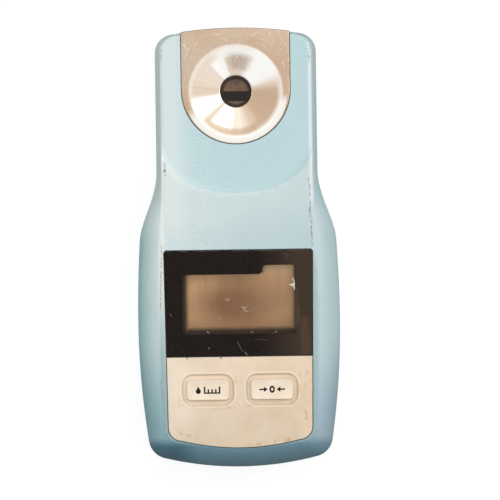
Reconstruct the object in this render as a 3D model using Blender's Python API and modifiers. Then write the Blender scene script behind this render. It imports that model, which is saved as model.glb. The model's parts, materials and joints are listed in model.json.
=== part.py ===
"""Hand-held digital refractometer, lying on its back.

Metres. +Z points out of the display face, +Y towards the prism head, and the origin is on the
surface that the meter lies on, under the middle of its outline.
"""
import math
from collections import namedtuple

import bmesh
import bpy
from mathutils import Matrix, Vector

# Clearances and cuts
GAP = 0.0003
CUT_OVERRUN = 0.002
WELD = 0.00001
HAIR = 0.00002

# Body outline, seen from above
BODY_LENGTH = 0.118
HEAD_WIDTH = 0.0434
GRIP_WIDTH = 0.0544
BODY_THICKNESS = 0.027
HEAD_LENGTH = 0.038
NECK_LENGTH = 0.019
WIDEST_FROM_END = 0.0396
BARREL_LENGTH = 0.0214
TAPER_LENGTH = 0.0322
GRIP_END_TAPER = 0.0024
GRIP_NECK_TAPER = 0.0007
HEAD_END_ARC = 0.108
GRIP_END_ARC = 0.085
HEAD_CORNER = 0.005
GRIP_CORNER = 0.0055
LEAST_CORNER = 0.001

# Front face between the flanks, called the spine, and the flat of the back
SPINE_HEAD_WIDTH = 0.0404
SPINE_GRIP_WIDTH = 0.0420
SPINE_END_TAPER = 0.0007
SPINE_NECK_TAPER = 0.0004
SPINE_HEAD_INSET = 0.0008
SPINE_GRIP_INSET = 0.0048
SPINE_CORNER = 0.0045
BACK_HEAD_INSET = 0.0016
BACK_GRIP_INSET = 0.0034
EDGE_HEIGHT = 0.0008
EDGE_INSET = 0.0009
CAP_INSET = 0.0005
RIM_BAND = 0.0015
FLANK_END_ANGLE = math.radians(68)
WALL = 0.0024
ROOF_INSET = 0.0019

# Lowered face of the head, which ends in a round scoop
SCOOP_DEPTH = 0.0012
SCOOP_LENGTH = 0.0444
SCOOP_ROUND = 0.0155
SCOOP_WIDTH = 0.0416
SCOOP_SLOPE = 0.0014
SCOOP_POWER_SHARE = 2.2
SCOOP_WALL_SHARES = ((0, 0), (0.15, 0.35), (0.85, 0.75), (1, 1))
SCOOP_MERGE_FROM_END = 0.0360
SCOOP_MERGE_LENGTH = 0.005

# Counts
ARC_STEPS = 4
CORNER_STEPS = 4
HEAD_SIDE_STEPS = 2
NECK_STEPS = 6
GRIP_SIDE_STEPS = 7
FLANK_STEPS = 4
EDGE_STEPS = 3
CORNER_PASSES = 6
SCOOP_STEPS = 24
FINE_SEGMENTS = 40
ROUND_SEGMENTS = 20
SMALL_SEGMENTS = 12

# Stainless plate with its dish
PLATE_WIDTH = 0.0292
PLATE_THICKNESS = 0.0015
PLATE_ROUND_FROM_END = 0.0166
PLATE_EDGE = 0.0003
DISH_FROM_END = 0.0171
DISH_RIM_RADIUS = 0.0134
DISH_RADIUS = 0.0127
DISH_RIM_DROP = 0.0004
DISH_DEPTH = 0.0028
HOLE_RADIUS = 0.00415
HOLE_LIP = 0.0011
PLATE_BOSS_RADIUS = 0.0132
PLATE_BOSS_CHAMFER = 0.0008
LEDGE_THICKNESS = 0.0015
LEDGE_BORDER = 0.002

# Front label: black display panel above, keypad panel below
LABEL_FROM_END = 0.0054
LABEL_LENGTH = 0.0529
LABEL_TOP_WIDTH = 0.0398
LABEL_LOW_WIDTH = 0.0386
LABEL_CORNER = 0.0035
LABEL_TOP_CORNER = 0.0006
LABEL_SAG = 0.0020
LABEL_SINK = 0.0001
LABEL_THICKNESS = 0.0009
DISPLAY_PANEL_LENGTH = 0.0285
PANEL_SEAM = 0.0001

# Clear window over the display
WINDOW_LEFT = 0.0151
WINDOW_RIGHT = 0.0152
WINDOW_FROM_TOP = 0.0065
WINDOW_LENGTH = 0.0160
WINDOW_TAB_LEFT = 0.0064
WINDOW_TAB_LENGTH = 0.0024
WINDOW_CORNER = 0.0005
WINDOW_FLANGE = 0.0010
WINDOW_FLANGE_THICKNESS = 0.0006
WINDOW_FIT = 0.0001

# Display glass, its frame and its connector strips
ROOF_THICKNESS = 0.0028
LCD_MARGIN = 0.0009
LCD_THICKNESS = 0.0014
LCD_FRAME_WALL = 0.0012
LCD_FRAME_HEIGHT = 0.0021
STRIP_WIDTH = 0.0020

# Keys
KEY_SPACING = 0.0172
KEY_BELOW_SPLIT = 0.0089
KEY_WIDTH = 0.0113
KEY_LENGTH = 0.0054
KEY_CORNER = 0.0011
KEY_PROUD = 0.0004
KEY_CROWN = 0.0003
KEY_FLANGE = 0.0006
KEY_FLANGE_THICKNESS = 0.0008
KEY_TRAVEL = 0.0006
KEY_MOAT_WIDTH = 0.0141
KEY_MOAT_LENGTH = 0.0090
KEY_MOAT_CORNER = 0.0030
KEY_MOAT_DEPTH = 0.00025
PLUNGER_RADIUS = 0.0015
SWITCH_SIZE = 0.0060
SWITCH_HEIGHT = 0.0018
SWITCH_WELL = 0.0012

# Main board
BOARD_WIDTH = 0.0350
BOARD_THICKNESS = 0.0012
BOARD_ABOVE_POST = 0.004
BOARD_BELOW_KEYS = 0.0054
BOARD_CORNER = 0.002
BOARD_POST_SPACING = 0.028
BOARD_POST_OFF_MIDDLE = 0.0003
BOARD_POST_BELOW_SPLIT = 0.0008
POST_RADIUS = 0.0022
CHIP_SIZE = 0.0070
CHIP_THICKNESS = 0.0011
CHIP_FROM_END = 0.040

# Small screws that hold the board and the optics
SMALL_SHANK_RADIUS = 0.0009
SMALL_HEAD_RADIUS = 0.0018
SMALL_HEAD_HEIGHT = 0.0011
SMALL_SCREW_REACH = 0.0035

# Case screws, driven from the back
HEAD_SCREW_FROM_SIDE = 0.0056
HEAD_SCREW_FROM_END = 0.009
GRIP_SCREW_FROM_SIDE = 0.0086
GRIP_SCREW_FROM_END = 0.0115
CASE_SHANK_RADIUS = 0.0011
CASE_HEAD_RADIUS = 0.0020
CASE_HEAD_HEIGHT = 0.0014
CASE_SCREW_SEAT = 0.005
CASE_SCREW_REACH = 0.0040
BOSS_RADIUS = 0.0026
PILLAR_RADIUS = 0.0031
CROSS_LENGTH = 0.0026
CROSS_WIDTH = 0.0006
CROSS_DEPTH = 0.0005

# Gasket in the rim of the rear shell
RIM_SEAL_INSET = 0.00095
RIM_SEAL_WIDTH = 0.0007
RIM_SEAL_HEIGHT = 0.0008
RIM_TONGUE = 0.0005

# Floor of the rear shell, and the battery bay
FLOOR = 0.0022
CELL_RADIUS = 0.00525
CELL_LENGTH = 0.0445
CELL_NUB_RADIUS = 0.0019
CELL_NUB_LENGTH = 0.0008
CELL_EDGE = 0.0005
CELL_SPACING = 0.0114
CELL_ABOVE_DOOR = 0.00035
BAY_FROM_END = 0.015
BAY_LENGTH = 0.050
BAY_SIDE_ROOM = 0.00075
BAY_HEAD_ROOM = 0.00045
BAY_WALL = 0.0014
BAY_ROOF = 0.0012
BAY_CORNER = 0.0008
CONTACT_THICKNESS = 0.0005
CONTACT_SIZE = 0.0090
CONTACT_TAIL = 0.0020
SPRING_WIRE_RADIUS = 0.00025
SPRING_WIDE_RADIUS = 0.0036
SPRING_NARROW_RADIUS = 0.0018
SPRING_TURNS = 3
SPRING_POINTS_A_TURN = 9

# Battery door in the back
DOOR_WIDTH = 0.0292
DOOR_FROM_END = 0.0068
DOOR_LENGTH = 0.0664
DOOR_THICKNESS = 0.0022
DOOR_SINK = 0.0002
DOOR_CORNER = 0.0035
DOOR_EDGE = 0.0004
LAND_BORDER = 0.002
LAND_TOP = 0.005
DOOR_SEAL_SIDE = 0.0008
DOOR_SEAL_FROM_BAY = 0.0007
DOOR_SEAL_WIDTH = 0.0008
DOOR_SEAL_HEIGHT = 0.0008
DOOR_SEAL_CORNER = 0.0016
DOOR_SCREW_INSET = 0.0036
DOOR_HEAD_RADIUS = 0.0024
DOOR_HEAD_HEIGHT = 0.0011
DOOR_SHANK_RADIUS = 0.0011
DOOR_SCREW_REACH = 0.0055
INSERT_RADIUS = 0.0022
INSERT_LENGTH = 0.0040
INSERT_BOSS_RADIUS = 0.0034
INSERT_BOSS_ROOF = 0.0012

# Prism and its gasket
PRISM_WIDTH = 0.010
PRISM_LENGTH = 0.012
PRISM_SIDE = 0.0019
PRISM_SLANT = 0.0040
PRISM_SEAL_INNER = 0.0043
PRISM_SEAL_WIDTH = 0.0007
PRISM_SEAL_THICKNESS = 0.0008

# Optics block, with one slanted bore for the lamp and one for the line sensor
BLOCK_WIDTH = 0.018
BORE_RUN = 0.0056
BLOCK_FACE_RUN = 0.0035
BORE_RADIUS = 0.0026
EAR_WIDTH = 0.0047
EAR_LENGTH = 0.0046
EAR_THICKNESS = 0.0020
EAR_DROP = 0.0020
EAR_LAP = 0.001
EAR_OVERHANG = 0.0015
CARRIER_WIDTH = 0.012
CARRIER_LENGTH = 0.0092
CARRIER_THICKNESS = 0.001
LED_RADIUS = 0.0015
LED_LENGTH = 0.0030
LENS_RADIUS = 0.0023
LENS_THICKNESS = 0.0014
LENS_CROWN = 0.0004
COLLIMATOR_PLACE = 0.0052
FOCUS_PLACE = 0.0045
SENSOR_LENGTH = 0.0040
SENSOR_WIDTH = 0.0020
SENSOR_THICKNESS = 0.0010
PROBE_SIZE = 0.0022
PROBE_HEIGHT = 0.0012
PROBE_FROM_MIDDLE = 0.0108
RIBBON_WIDTH = 0.008
RIBBON_THICKNESS = 0.0003
RIBBON_LAP = 0.004
RIBBON_TURN = 0.001
LAMP_LEAD_WIDTH = 0.004

# Places that follow from the sizes above
HEAD_END = BODY_LENGTH / 2
GRIP_END = -BODY_LENGTH / 2
NECK_HIGH = HEAD_END - HEAD_LENGTH
NECK_LOW = NECK_HIGH - NECK_LENGTH
WIDEST_Y = GRIP_END + WIDEST_FROM_END
PAD_TOP = BODY_THICKNESS
HEAD_FACE = PAD_TOP - SCOOP_DEPTH
PARTING = BODY_THICKNESS / 2
FRONT_RIM = PARTING + GAP / 2
REAR_RIM = PARTING - GAP / 2
RIM_SEAL_TOP = REAR_RIM - RIM_TONGUE - GAP
CEILING = PAD_TOP - ROOF_THICKNESS
SCOOP_CENTRE = HEAD_END - SCOOP_LENGTH + SCOOP_ROUND

PLATE_LOW = HEAD_FACE - PLATE_THICKNESS
PLATE_UNDER = HEAD_FACE - DISH_DEPTH - HOLE_LIP
PLATE_ROUND_Y = HEAD_END - PLATE_ROUND_FROM_END
DISH_Y = HEAD_END - DISH_FROM_END
LEDGE_TOP = PLATE_LOW - GAP
LEDGE_LOW = LEDGE_TOP - LEDGE_THICKNESS

LABEL_TOP = PAD_TOP - LABEL_SINK
LABEL_UNDER = LABEL_TOP - LABEL_THICKNESS
LABEL_LOW_Y = GRIP_END + LABEL_FROM_END
LABEL_HIGH_Y = LABEL_LOW_Y + LABEL_LENGTH
PANEL_SPLIT_Y = LABEL_HIGH_Y - DISPLAY_PANEL_LENGTH
LABEL_FLOOR = LABEL_UNDER - GAP
WINDOW_FLANGE_TOP = LABEL_UNDER - GAP
WINDOW_UNDER = WINDOW_FLANGE_TOP - WINDOW_FLANGE_THICKNESS
WINDOW_POCKET = WINDOW_UNDER - GAP
WINDOW_HIGH_Y = LABEL_HIGH_Y - WINDOW_FROM_TOP
WINDOW_LOW_Y = WINDOW_HIGH_Y - WINDOW_LENGTH

LCD_TOP = CEILING - GAP
LCD_UNDER = LCD_TOP - LCD_THICKNESS
LCD_FRAME_TOP = LCD_UNDER - GAP
BOARD_TOP = LCD_FRAME_TOP - LCD_FRAME_HEIGHT - GAP
BOARD_UNDER = BOARD_TOP - BOARD_THICKNESS
KEY_Y = PANEL_SPLIT_Y - KEY_BELOW_SPLIT
BOARD_LOW_Y = KEY_Y - BOARD_BELOW_KEYS
KEY_TOP = PAD_TOP + KEY_PROUD
KEY_FLANGE_TOP = LABEL_UNDER - GAP
KEY_UNDER = KEY_FLANGE_TOP - KEY_FLANGE_THICKNESS
SWITCH_TOP = BOARD_TOP + GAP + SWITCH_HEIGHT
PLUNGER_TOP = KEY_UNDER - GAP
PLUNGER_UNDER = SWITCH_TOP - SWITCH_WELL + KEY_TRAVEL + GAP

DOOR_LOW_Y = GRIP_END + DOOR_FROM_END
DOOR_HIGH_Y = DOOR_LOW_Y + DOOR_LENGTH
DOOR_TOP = DOOR_SINK + DOOR_THICKNESS
DOOR_LEDGE = DOOR_TOP + GAP
DOOR_SCREW_PLACES = (("high", DOOR_HIGH_Y - DOOR_SCREW_INSET), ("low", DOOR_LOW_Y + DOOR_SCREW_INSET))
DOOR_SCREW_SEAT = DOOR_SINK + GAP + DOOR_HEAD_HEIGHT
INSERT_LOW = DOOR_LEDGE + GAP
INSERT_HIGH = INSERT_LOW + INSERT_LENGTH
CELL_Z = DOOR_TOP + CELL_ABOVE_DOOR + CELL_RADIUS
BAY_HALF = CELL_SPACING / 2 + CELL_RADIUS + BAY_SIDE_ROOM
BAY_TOP = CELL_Z + CELL_RADIUS + BAY_HEAD_ROOM
BAY_LOW_Y = GRIP_END + BAY_FROM_END
BAY_HIGH_Y = BAY_LOW_Y + BAY_LENGTH

PRISM_TOP = PLATE_UNDER - GAP - PRISM_SEAL_THICKNESS - GAP
BLOCK_TOP = PLATE_UNDER - GAP
SLANT_Y = PRISM_LENGTH / 2 - PRISM_SLANT / 2
SLANT_Z = PRISM_TOP - PRISM_SIDE - PRISM_SLANT / 2
FACE_Y = SLANT_Y + BORE_RUN
FACE_Z = SLANT_Z - BORE_RUN
BLOCK_HALF = FACE_Y + BLOCK_FACE_RUN
EAR_TOP = BLOCK_TOP - EAR_DROP
EAR_X = BLOCK_WIDTH / 2 + EAR_WIDTH / 2
EAR_LOW_Y = DISH_Y - BLOCK_HALF - EAR_OVERHANG
EAR_Y = EAR_LOW_Y + EAR_LENGTH / 2

LCD_HIGH_Y = WINDOW_HIGH_Y + WINDOW_TAB_LENGTH + LCD_MARGIN
BOARD_POST_HIGH_Y = (LCD_HIGH_Y + EAR_LOW_Y) / 2 + BOARD_POST_OFF_MIDDLE
BOARD_POST_LOW_Y = PANEL_SPLIT_Y - BOARD_POST_BELOW_SPLIT
BOARD_HIGH_Y = BOARD_POST_HIGH_Y + BOARD_ABOVE_POST

# Directions in which an outline is drawn and thickened
UPRIGHT = Matrix.Identity(4)
SIDEWAYS = Matrix(((0, 0, 1, 0), (1, 0, 0, 0), (0, 1, 0, 0), (0, 0, 0, 1)))
ENDWAYS = Matrix(((1, 0, 0, 0), (0, 0, -1, 0), (0, 1, 0, 0), (0, 0, 0, 1)))

Plan = namedtuple("Plan", "head grip neck_taper end_taper head_end grip_end head_corner grip_corner")

BODY = Plan(HEAD_WIDTH / 2, GRIP_WIDTH / 2, GRIP_NECK_TAPER, GRIP_END_TAPER, HEAD_END, GRIP_END,
            HEAD_CORNER, GRIP_CORNER)
SPINE = Plan(SPINE_HEAD_WIDTH / 2, SPINE_GRIP_WIDTH / 2, SPINE_NECK_TAPER, SPINE_END_TAPER,
             HEAD_END - SPINE_HEAD_INSET, GRIP_END + SPINE_GRIP_INSET, SPINE_CORNER, SPINE_CORNER)
BACK = Plan(HEAD_WIDTH / 2 - BACK_HEAD_INSET, GRIP_WIDTH / 2 - BACK_GRIP_INSET, GRIP_NECK_TAPER,
            GRIP_END_TAPER, HEAD_END - BACK_HEAD_INSET, GRIP_END + BACK_GRIP_INSET, HEAD_CORNER, GRIP_CORNER)


def smooth(share):
    """Ease from 0 to 1."""
    share = min(max(share, 0), 1)
    return share * share * (3 - 2 * share)


def spread(low, high, steps):
    """Evenly spaced values from low up to, but not including, high."""
    return [low + (high - low) * step / steps for step in range(steps)]


def inset(plan, distance):
    """The same outline, drawn in on all sides."""
    return plan._replace(head=plan.head - distance, grip=plan.grip - distance,
                         head_end=plan.head_end - distance, grip_end=plan.grip_end + distance,
                         head_corner=max(plan.head_corner - distance, LEAST_CORNER),
                         grip_corner=max(plan.grip_corner - distance, LEAST_CORNER))


def side_half_width(plan, y):
    """Half width of the outline: straight head, smooth neck, gently barrelled grip."""
    if y > WIDEST_Y:
        barrel = plan.grip - plan.neck_taper * ((y - WIDEST_Y) / BARREL_LENGTH) ** 2
    else:
        barrel = plan.grip - plan.end_taper * ((WIDEST_Y - y) / TAPER_LENGTH) ** 2
    return plan.head + (barrel - plan.head) * smooth((NECK_HIGH - y) / (NECK_HIGH - NECK_LOW))


def arc(radius, x, y, start, end, steps):
    """Points along an arc, without its last one."""
    angles = spread(start, end, steps)
    return [(x + radius * math.cos(angle), y + radius * math.sin(angle)) for angle in angles]


def full_arc(radius, x, y, start, end, steps):
    """Points along an arc, with its last one."""
    return arc(radius, x, y, start, end, steps) + [(x + radius * math.cos(end), y + radius * math.sin(end))]


def head_quarter(plan):
    """From the head's crest round its corner, and the height at which the straight side begins."""
    radius = plan.head_corner
    reach = plan.head - radius
    crown_y = plan.head_end - HEAD_END_ARC
    meeting = math.acos(reach / (HEAD_END_ARC - radius))
    corner_y = crown_y + math.sqrt((HEAD_END_ARC - radius) ** 2 - reach ** 2)
    crest = arc(HEAD_END_ARC, 0, crown_y, math.pi / 2, meeting, ARC_STEPS)
    return crest + arc(radius, reach, corner_y, meeting, 0, CORNER_STEPS), corner_y


def grip_quarter(plan):
    """Where the side ends, and from there round the grip's corner to the lowest point."""
    radius = plan.grip_corner
    corner_y = plan.grip_end + radius
    for _ in range(CORNER_PASSES):
        tilt = math.atan(2 * plan.end_taper * (WIDEST_Y - corner_y) / TAPER_LENGTH ** 2)
        side_y = corner_y - radius * math.sin(tilt)
        reach = side_half_width(plan, side_y) - radius * math.cos(tilt)
        corner_y = plan.grip_end + GRIP_END_ARC - math.sqrt((GRIP_END_ARC - radius) ** 2 - reach ** 2)
    meeting = math.acos(reach / (GRIP_END_ARC - radius))
    corner = arc(radius, reach, corner_y, -tilt, -meeting, CORNER_STEPS)
    sole = arc(GRIP_END_ARC, 0, plan.grip_end + GRIP_END_ARC, -meeting, -math.pi / 2, ARC_STEPS)
    return side_y, corner + sole + [(0, plan.grip_end)]


def outline(plan):
    """The whole closed outline, from the head's crest down its right side and up its left."""
    right, high_y = head_quarter(plan)
    low_y, tail = grip_quarter(plan)
    stations = spread(high_y, NECK_HIGH, HEAD_SIDE_STEPS) + spread(NECK_HIGH, NECK_LOW, NECK_STEPS)
    stations += spread(NECK_LOW, low_y, GRIP_SIDE_STEPS)
    right += [(side_half_width(plan, y), y) for y in stations] + tail
    return right + [(-x, y) for x, y in reversed(right[1:-1])]


def rounded_rectangle(half_x, half_y, radius, x=0, y=0, steps=3):
    """Closed rectangle with rounded corners about a centre."""
    points = []
    corners = ((1, 1, 0), (-1, 1, math.pi / 2), (-1, -1, math.pi), (1, -1, -math.pi / 2))
    for side_x, side_y, start in corners:
        centre = (x + side_x * (half_x - radius), y + side_y * (half_y - radius))
        points += full_arc(radius, *centre, start, start + math.pi / 2, steps)
    return points


def collection(name):
    """A new collection in the scene."""
    made = bpy.data.collections.new(name)
    bpy.context.scene.collection.children.link(made)
    return made


for old in list(bpy.data.objects):
    bpy.data.objects.remove(old, do_unlink=True)
PARTS = collection("digital_refractometer")
CUTTERS = collection("cutters")


def material(name, colour, roughness, metallic=0.0, alpha=1.0):
    """A plain Principled material."""
    made = bpy.data.materials.new(name)
    made.use_nodes = True
    shader = made.node_tree.nodes["Principled BSDF"]
    shader.inputs["Base Color"].default_value = (*colour, 1)
    shader.inputs["Roughness"].default_value = roughness
    shader.inputs["Metallic"].default_value = metallic
    shader.inputs["Alpha"].default_value = alpha
    return made


MATERIALS = {
    "case_blue": material("case_blue", (0.42, 0.60, 0.64), 0.45),
    "steel": material("steel", (0.62, 0.56, 0.50), 0.28, 1.0),
    "black_print": material("black_print", (0.025, 0.022, 0.020), 0.30),
    "cream_print": material("cream_print", (0.80, 0.66, 0.52), 0.45),
    "clear_lens": material("clear_lens", (0.90, 0.88, 0.85), 0.10, 0.0, 0.35),
    "lcd_glass": material("lcd_glass", (0.34, 0.25, 0.17), 0.18),
    "dark_plastic": material("dark_plastic", (0.03, 0.03, 0.03), 0.55),
    "rubber": material("rubber", (0.02, 0.02, 0.02), 0.85),
    "prism_glass": material("prism_glass", (0.10, 0.07, 0.05), 0.05),
    "board_green": material("board_green", (0.03, 0.18, 0.07), 0.50),
    "brass": material("brass", (0.70, 0.52, 0.22), 0.30, 1.0),
    "zinc": material("zinc", (0.60, 0.60, 0.60), 0.35, 1.0),
    "nickel": material("nickel", (0.68, 0.66, 0.62), 0.25, 1.0),
    "cell_wrap": material("cell_wrap", (0.10, 0.11, 0.13), 0.35),
    "ribbon": material("ribbon", (0.45, 0.20, 0.05), 0.40),
}


def bm_mesh(bm, frame=UPRIGHT):
    """Turn a bmesh into a mesh with its faces pointing out."""
    bmesh.ops.transform(bm, matrix=frame, verts=bm.verts)
    bmesh.ops.recalc_face_normals(bm, faces=bm.faces)
    mesh = bpy.data.meshes.new("solid")
    bm.to_mesh(mesh)
    bm.free()
    return mesh


def box_mesh(low, high, frame=UPRIGHT):
    """A box between two corners."""
    bm = bmesh.new()
    bmesh.ops.create_cube(bm, size=1)
    size = [b - a for a, b in zip(low, high)]
    middle = [(a + b) / 2 for a, b in zip(low, high)]
    return bm_mesh(bm, frame @ Matrix.Translation(middle) @ Matrix.Diagonal((*size, 1)))


def rod_mesh(radius, low, high, x=0, y=0, segments=ROUND_SEGMENTS, frame=UPRIGHT, top_radius=None):
    """A round bar, or a cone where the top radius differs, along the frame's own Z."""
    bm = bmesh.new()
    top = radius if top_radius is None else top_radius
    bmesh.ops.create_cone(bm, cap_ends=True, segments=segments, radius1=radius, radius2=top, depth=high - low)
    return bm_mesh(bm, frame @ Matrix.Translation((x, y, (low + high) / 2)))


def ring_mesh(rings):
    """A closed solid through level rings of equal count, lowest first."""
    bm = bmesh.new()
    rows = [[bm.verts.new(point) for point in ring] for ring in rings]
    count = len(rows[0])
    for below, above in zip(rows, rows[1:]):
        for i in range(count):
            j = (i + 1) % count
            bm.faces.new((below[i], below[j], above[j], above[i]))
    bm.faces.new(list(reversed(rows[0])))
    bm.faces.new(rows[-1])
    return bm_mesh(bm)


def level(points, z):
    """Lift plan points to one height."""
    return [(x, y, z) for x, y in points]


def evaluated_mesh(obj):
    """The object's mesh as its modifiers leave it, with loose seams welded, and the object removed."""
    graph = bpy.context.evaluated_depsgraph_get()
    mesh = bpy.data.meshes.new_from_object(obj.evaluated_get(graph))
    mesh.transform(obj.matrix_world)
    bpy.data.objects.remove(obj, do_unlink=True)
    bm = bmesh.new()
    bm.from_mesh(mesh)
    bmesh.ops.remove_doubles(bm, verts=bm.verts, dist=WELD)
    return bm_mesh(bm)


def slab_mesh(outlines, low, high, frame=UPRIGHT):
    """Flat outlines, the later ones as holes, thickened from low to high along the frame's Z."""
    curve = bpy.data.curves.new("outline", "CURVE")
    curve.dimensions = "2D"
    curve.fill_mode = "BOTH"
    curve.extrude = (high - low) / 2
    for points in outlines:
        spline = curve.splines.new("POLY")
        spline.points.add(len(points) - 1)
        spline.use_cyclic_u = True
        for target, (x, y) in zip(spline.points, points):
            target.co = (x, y, 0, 1)
    obj = bpy.data.objects.new("outline", curve)
    CUTTERS.objects.link(obj)
    obj.matrix_world = frame @ Matrix.Translation((0, 0, (low + high) / 2))
    bpy.context.view_layer.update()
    return evaluated_mesh(obj)


def turned_mesh(profile, frame=UPRIGHT, segments=FINE_SEGMENTS):
    """A profile of (radius, height) points, top to bottom, turned round the frame's Z."""
    mesh = bpy.data.meshes.new("profile")
    mesh.from_pydata([(r, 0, z) for r, z in profile], [(i, i + 1) for i in range(len(profile) - 1)], [])
    obj = bpy.data.objects.new("profile", mesh)
    CUTTERS.objects.link(obj)
    screw = obj.modifiers.new("turn", "SCREW")
    screw.steps = screw.render_steps = segments
    screw.use_merge_vertices = True
    screw.merge_threshold = WELD
    obj.matrix_world = frame
    bpy.context.view_layer.update()
    return evaluated_mesh(obj)


def tube_mesh(points, radius):
    """A round wire through the points."""
    curve = bpy.data.curves.new("wire", "CURVE")
    curve.dimensions = "3D"
    curve.bevel_depth = radius
    curve.bevel_resolution = 1
    curve.use_fill_caps = True
    spline = curve.splines.new("POLY")
    spline.points.add(len(points) - 1)
    for target, point in zip(spline.points, points):
        target.co = (*point, 1)
    obj = bpy.data.objects.new("wire", curve)
    CUTTERS.objects.link(obj)
    bpy.context.view_layer.update()
    return evaluated_mesh(obj)


def strip_mesh(path, width, thickness):
    """A flat strip along (y, z) points: an open sheet with Solidify."""
    bm = bmesh.new()
    rows = [[bm.verts.new((side * width / 2, y, z)) for side in (-1, 1)] for y, z in path]
    for (a, b), (c, d) in zip(rows, rows[1:]):
        bm.faces.new((a, b, d, c))
    mesh = bpy.data.meshes.new("strip")
    bm.to_mesh(mesh)
    bm.free()
    obj = bpy.data.objects.new("strip", mesh)
    CUTTERS.objects.link(obj)
    solidify = obj.modifiers.new("thickness", "SOLIDIFY")
    solidify.thickness = thickness
    solidify.offset = 0
    bpy.context.view_layer.update()
    return evaluated_mesh(obj)


def part(name, mesh, finish, origin=(0, 0, 0)):
    """A named sub-part, its origin where it turns or slides."""
    mesh.name = name
    mesh.transform(Matrix.Translation([-value for value in origin]))
    mesh.shade_smooth()
    mesh.set_sharp_from_angle(angle=math.radians(30))
    mesh.materials.append(MATERIALS[finish])
    obj = bpy.data.objects.new(name, mesh)
    obj.location = origin
    PARTS.objects.link(obj)
    return obj


def boolean(obj, mesh, operation):
    """Join or cut the object with a helper solid."""
    helper = bpy.data.objects.new(obj.name + "_" + operation.lower(), mesh)
    helper.hide_render = True
    helper.display_type = "WIRE"
    CUTTERS.objects.link(helper)
    helper.matrix_world = Matrix.Identity(4)
    modifier = obj.modifiers.new(operation.lower(), "BOOLEAN")
    modifier.operation = operation
    modifier.solver = "EXACT"
    modifier.object = helper
    return helper


def cut(obj, *meshes):
    """Take helper solids off the object."""
    for mesh in meshes:
        boolean(obj, mesh, "DIFFERENCE")


def join(obj, *meshes):
    """Add helper solids to the object."""
    for mesh in meshes:
        boolean(obj, mesh, "UNION")


def face_height(y):
    """Height of the front face along the spine's edge: lower in the head."""
    start = HEAD_END - SCOOP_MERGE_FROM_END
    return PAD_TOP - (SCOOP_DEPTH + HAIR) * smooth((y - start) / SCOOP_MERGE_LENGTH)


def flank_rings(outer, inner, low, top_height):
    """Rings of a flank that leaves the outer outline upright and curves in to the inner one."""
    rings = []
    pairs = list(zip(outline(outer), outline(inner)))
    for step in range(1, FLANK_STEPS + 1):
        angle = FLANK_END_ANGLE * step / FLANK_STEPS
        out_share = (math.cos(angle) - math.cos(FLANK_END_ANGLE)) / (1 - math.cos(FLANK_END_ANGLE))
        up_share = math.sin(angle) / math.sin(FLANK_END_ANGLE)
        ring = []
        for (ox, oy), (ix, iy) in pairs:
            x = ix + (ox - ix) * out_share
            y = iy + (oy - iy) * out_share
            ring.append((x, y, low + (top_height(iy) - low) * up_share))
        rings.append(ring)
    return rings


def edge_rings(plan, top_height):
    """Rings of the small rounded edge between a flank and a face."""
    rings = []
    for step in range(1, EDGE_STEPS + 1):
        angle = math.pi / 2 * step / EDGE_STEPS
        points = outline(inset(plan, EDGE_INSET * (1 - math.cos(angle))))
        rings.append([(x, y, top_height(y) - EDGE_HEIGHT * (1 - math.sin(angle))) for x, y in points])
    return rings


def front_skin():
    """Outer solid of the front shell, before it is hollowed and its head lowered."""
    body = outline(BODY)
    band = FRONT_RIM + RIM_BAND
    rings = [level(body, FRONT_RIM), level(body, band)]
    rings += flank_rings(BODY, SPINE, band, lambda y: face_height(y) - EDGE_HEIGHT)
    rings += edge_rings(SPINE, face_height)
    rings.append(level(outline(inset(SPINE, EDGE_INSET + CAP_INSET)), PAD_TOP))
    return ring_mesh(rings)


def rear_skin():
    """Outer solid of the rear shell."""
    body = outline(BODY)
    band = REAR_RIM - RIM_BAND
    rings = [level(body, REAR_RIM), level(body, band)]
    rings += flank_rings(BODY, BACK, band, lambda y: EDGE_HEIGHT)
    rings += edge_rings_down(BACK)
    return ring_mesh(list(reversed(rings)))


def edge_rings_down(plan):
    """Rings of the small rounded edge round the flat of the back."""
    rings = []
    for step in range(1, EDGE_STEPS + 1):
        angle = math.pi / 2 * step / EDGE_STEPS
        points = outline(inset(plan, EDGE_INSET * (1 - math.cos(angle))))
        rings.append(level(points, EDGE_HEIGHT * (1 - math.sin(angle))))
    return rings


def front_hollow():
    """Room inside the front shell."""
    room = outline(inset(BODY, WALL))
    band = FRONT_RIM + RIM_BAND
    rings = [level(room, FRONT_RIM - CUT_OVERRUN), level(room, band)]
    rings += flank_rings(inset(BODY, WALL), inset(SPINE, ROOF_INSET), band, lambda y: CEILING)
    return ring_mesh(rings)


def rear_hollow():
    """Room inside the rear shell."""
    room = outline(inset(BODY, WALL))
    band = REAR_RIM - RIM_BAND
    rings = [level(room, REAR_RIM + CUT_OVERRUN), level(room, band)]
    rings += flank_rings(inset(BODY, WALL), inset(BACK, ROOF_INSET), band, lambda y: FLOOR)
    return ring_mesh(list(reversed(rings)))


def rim_band(grow):
    """The band in the rim that holds the gasket: its outer and inner lines."""
    outer = outline(inset(BODY, RIM_SEAL_INSET - grow))
    return [outer, outline(inset(BODY, RIM_SEAL_INSET + RIM_SEAL_WIDTH + grow))]


def scoop_outline(grow):
    """The lowered face's outline: a flattened round towards the grip, open past the head's end."""
    half = SCOOP_WIDTH / 2 + grow
    deep = SCOOP_ROUND + grow
    points = []
    for step in range(SCOOP_STEPS + 1):
        angle = math.pi + math.pi * step / SCOOP_STEPS
        wide = math.copysign(abs(math.cos(angle)) ** (2 / SCOOP_POWER_SHARE), math.cos(angle))
        down = abs(math.sin(angle)) ** (2 / SCOOP_POWER_SHARE)
        points.append((half * wide, SCOOP_CENTRE - deep * down))
    far = HEAD_END + CUT_OVERRUN
    return points + [(half, far), (-half, far)]


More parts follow.
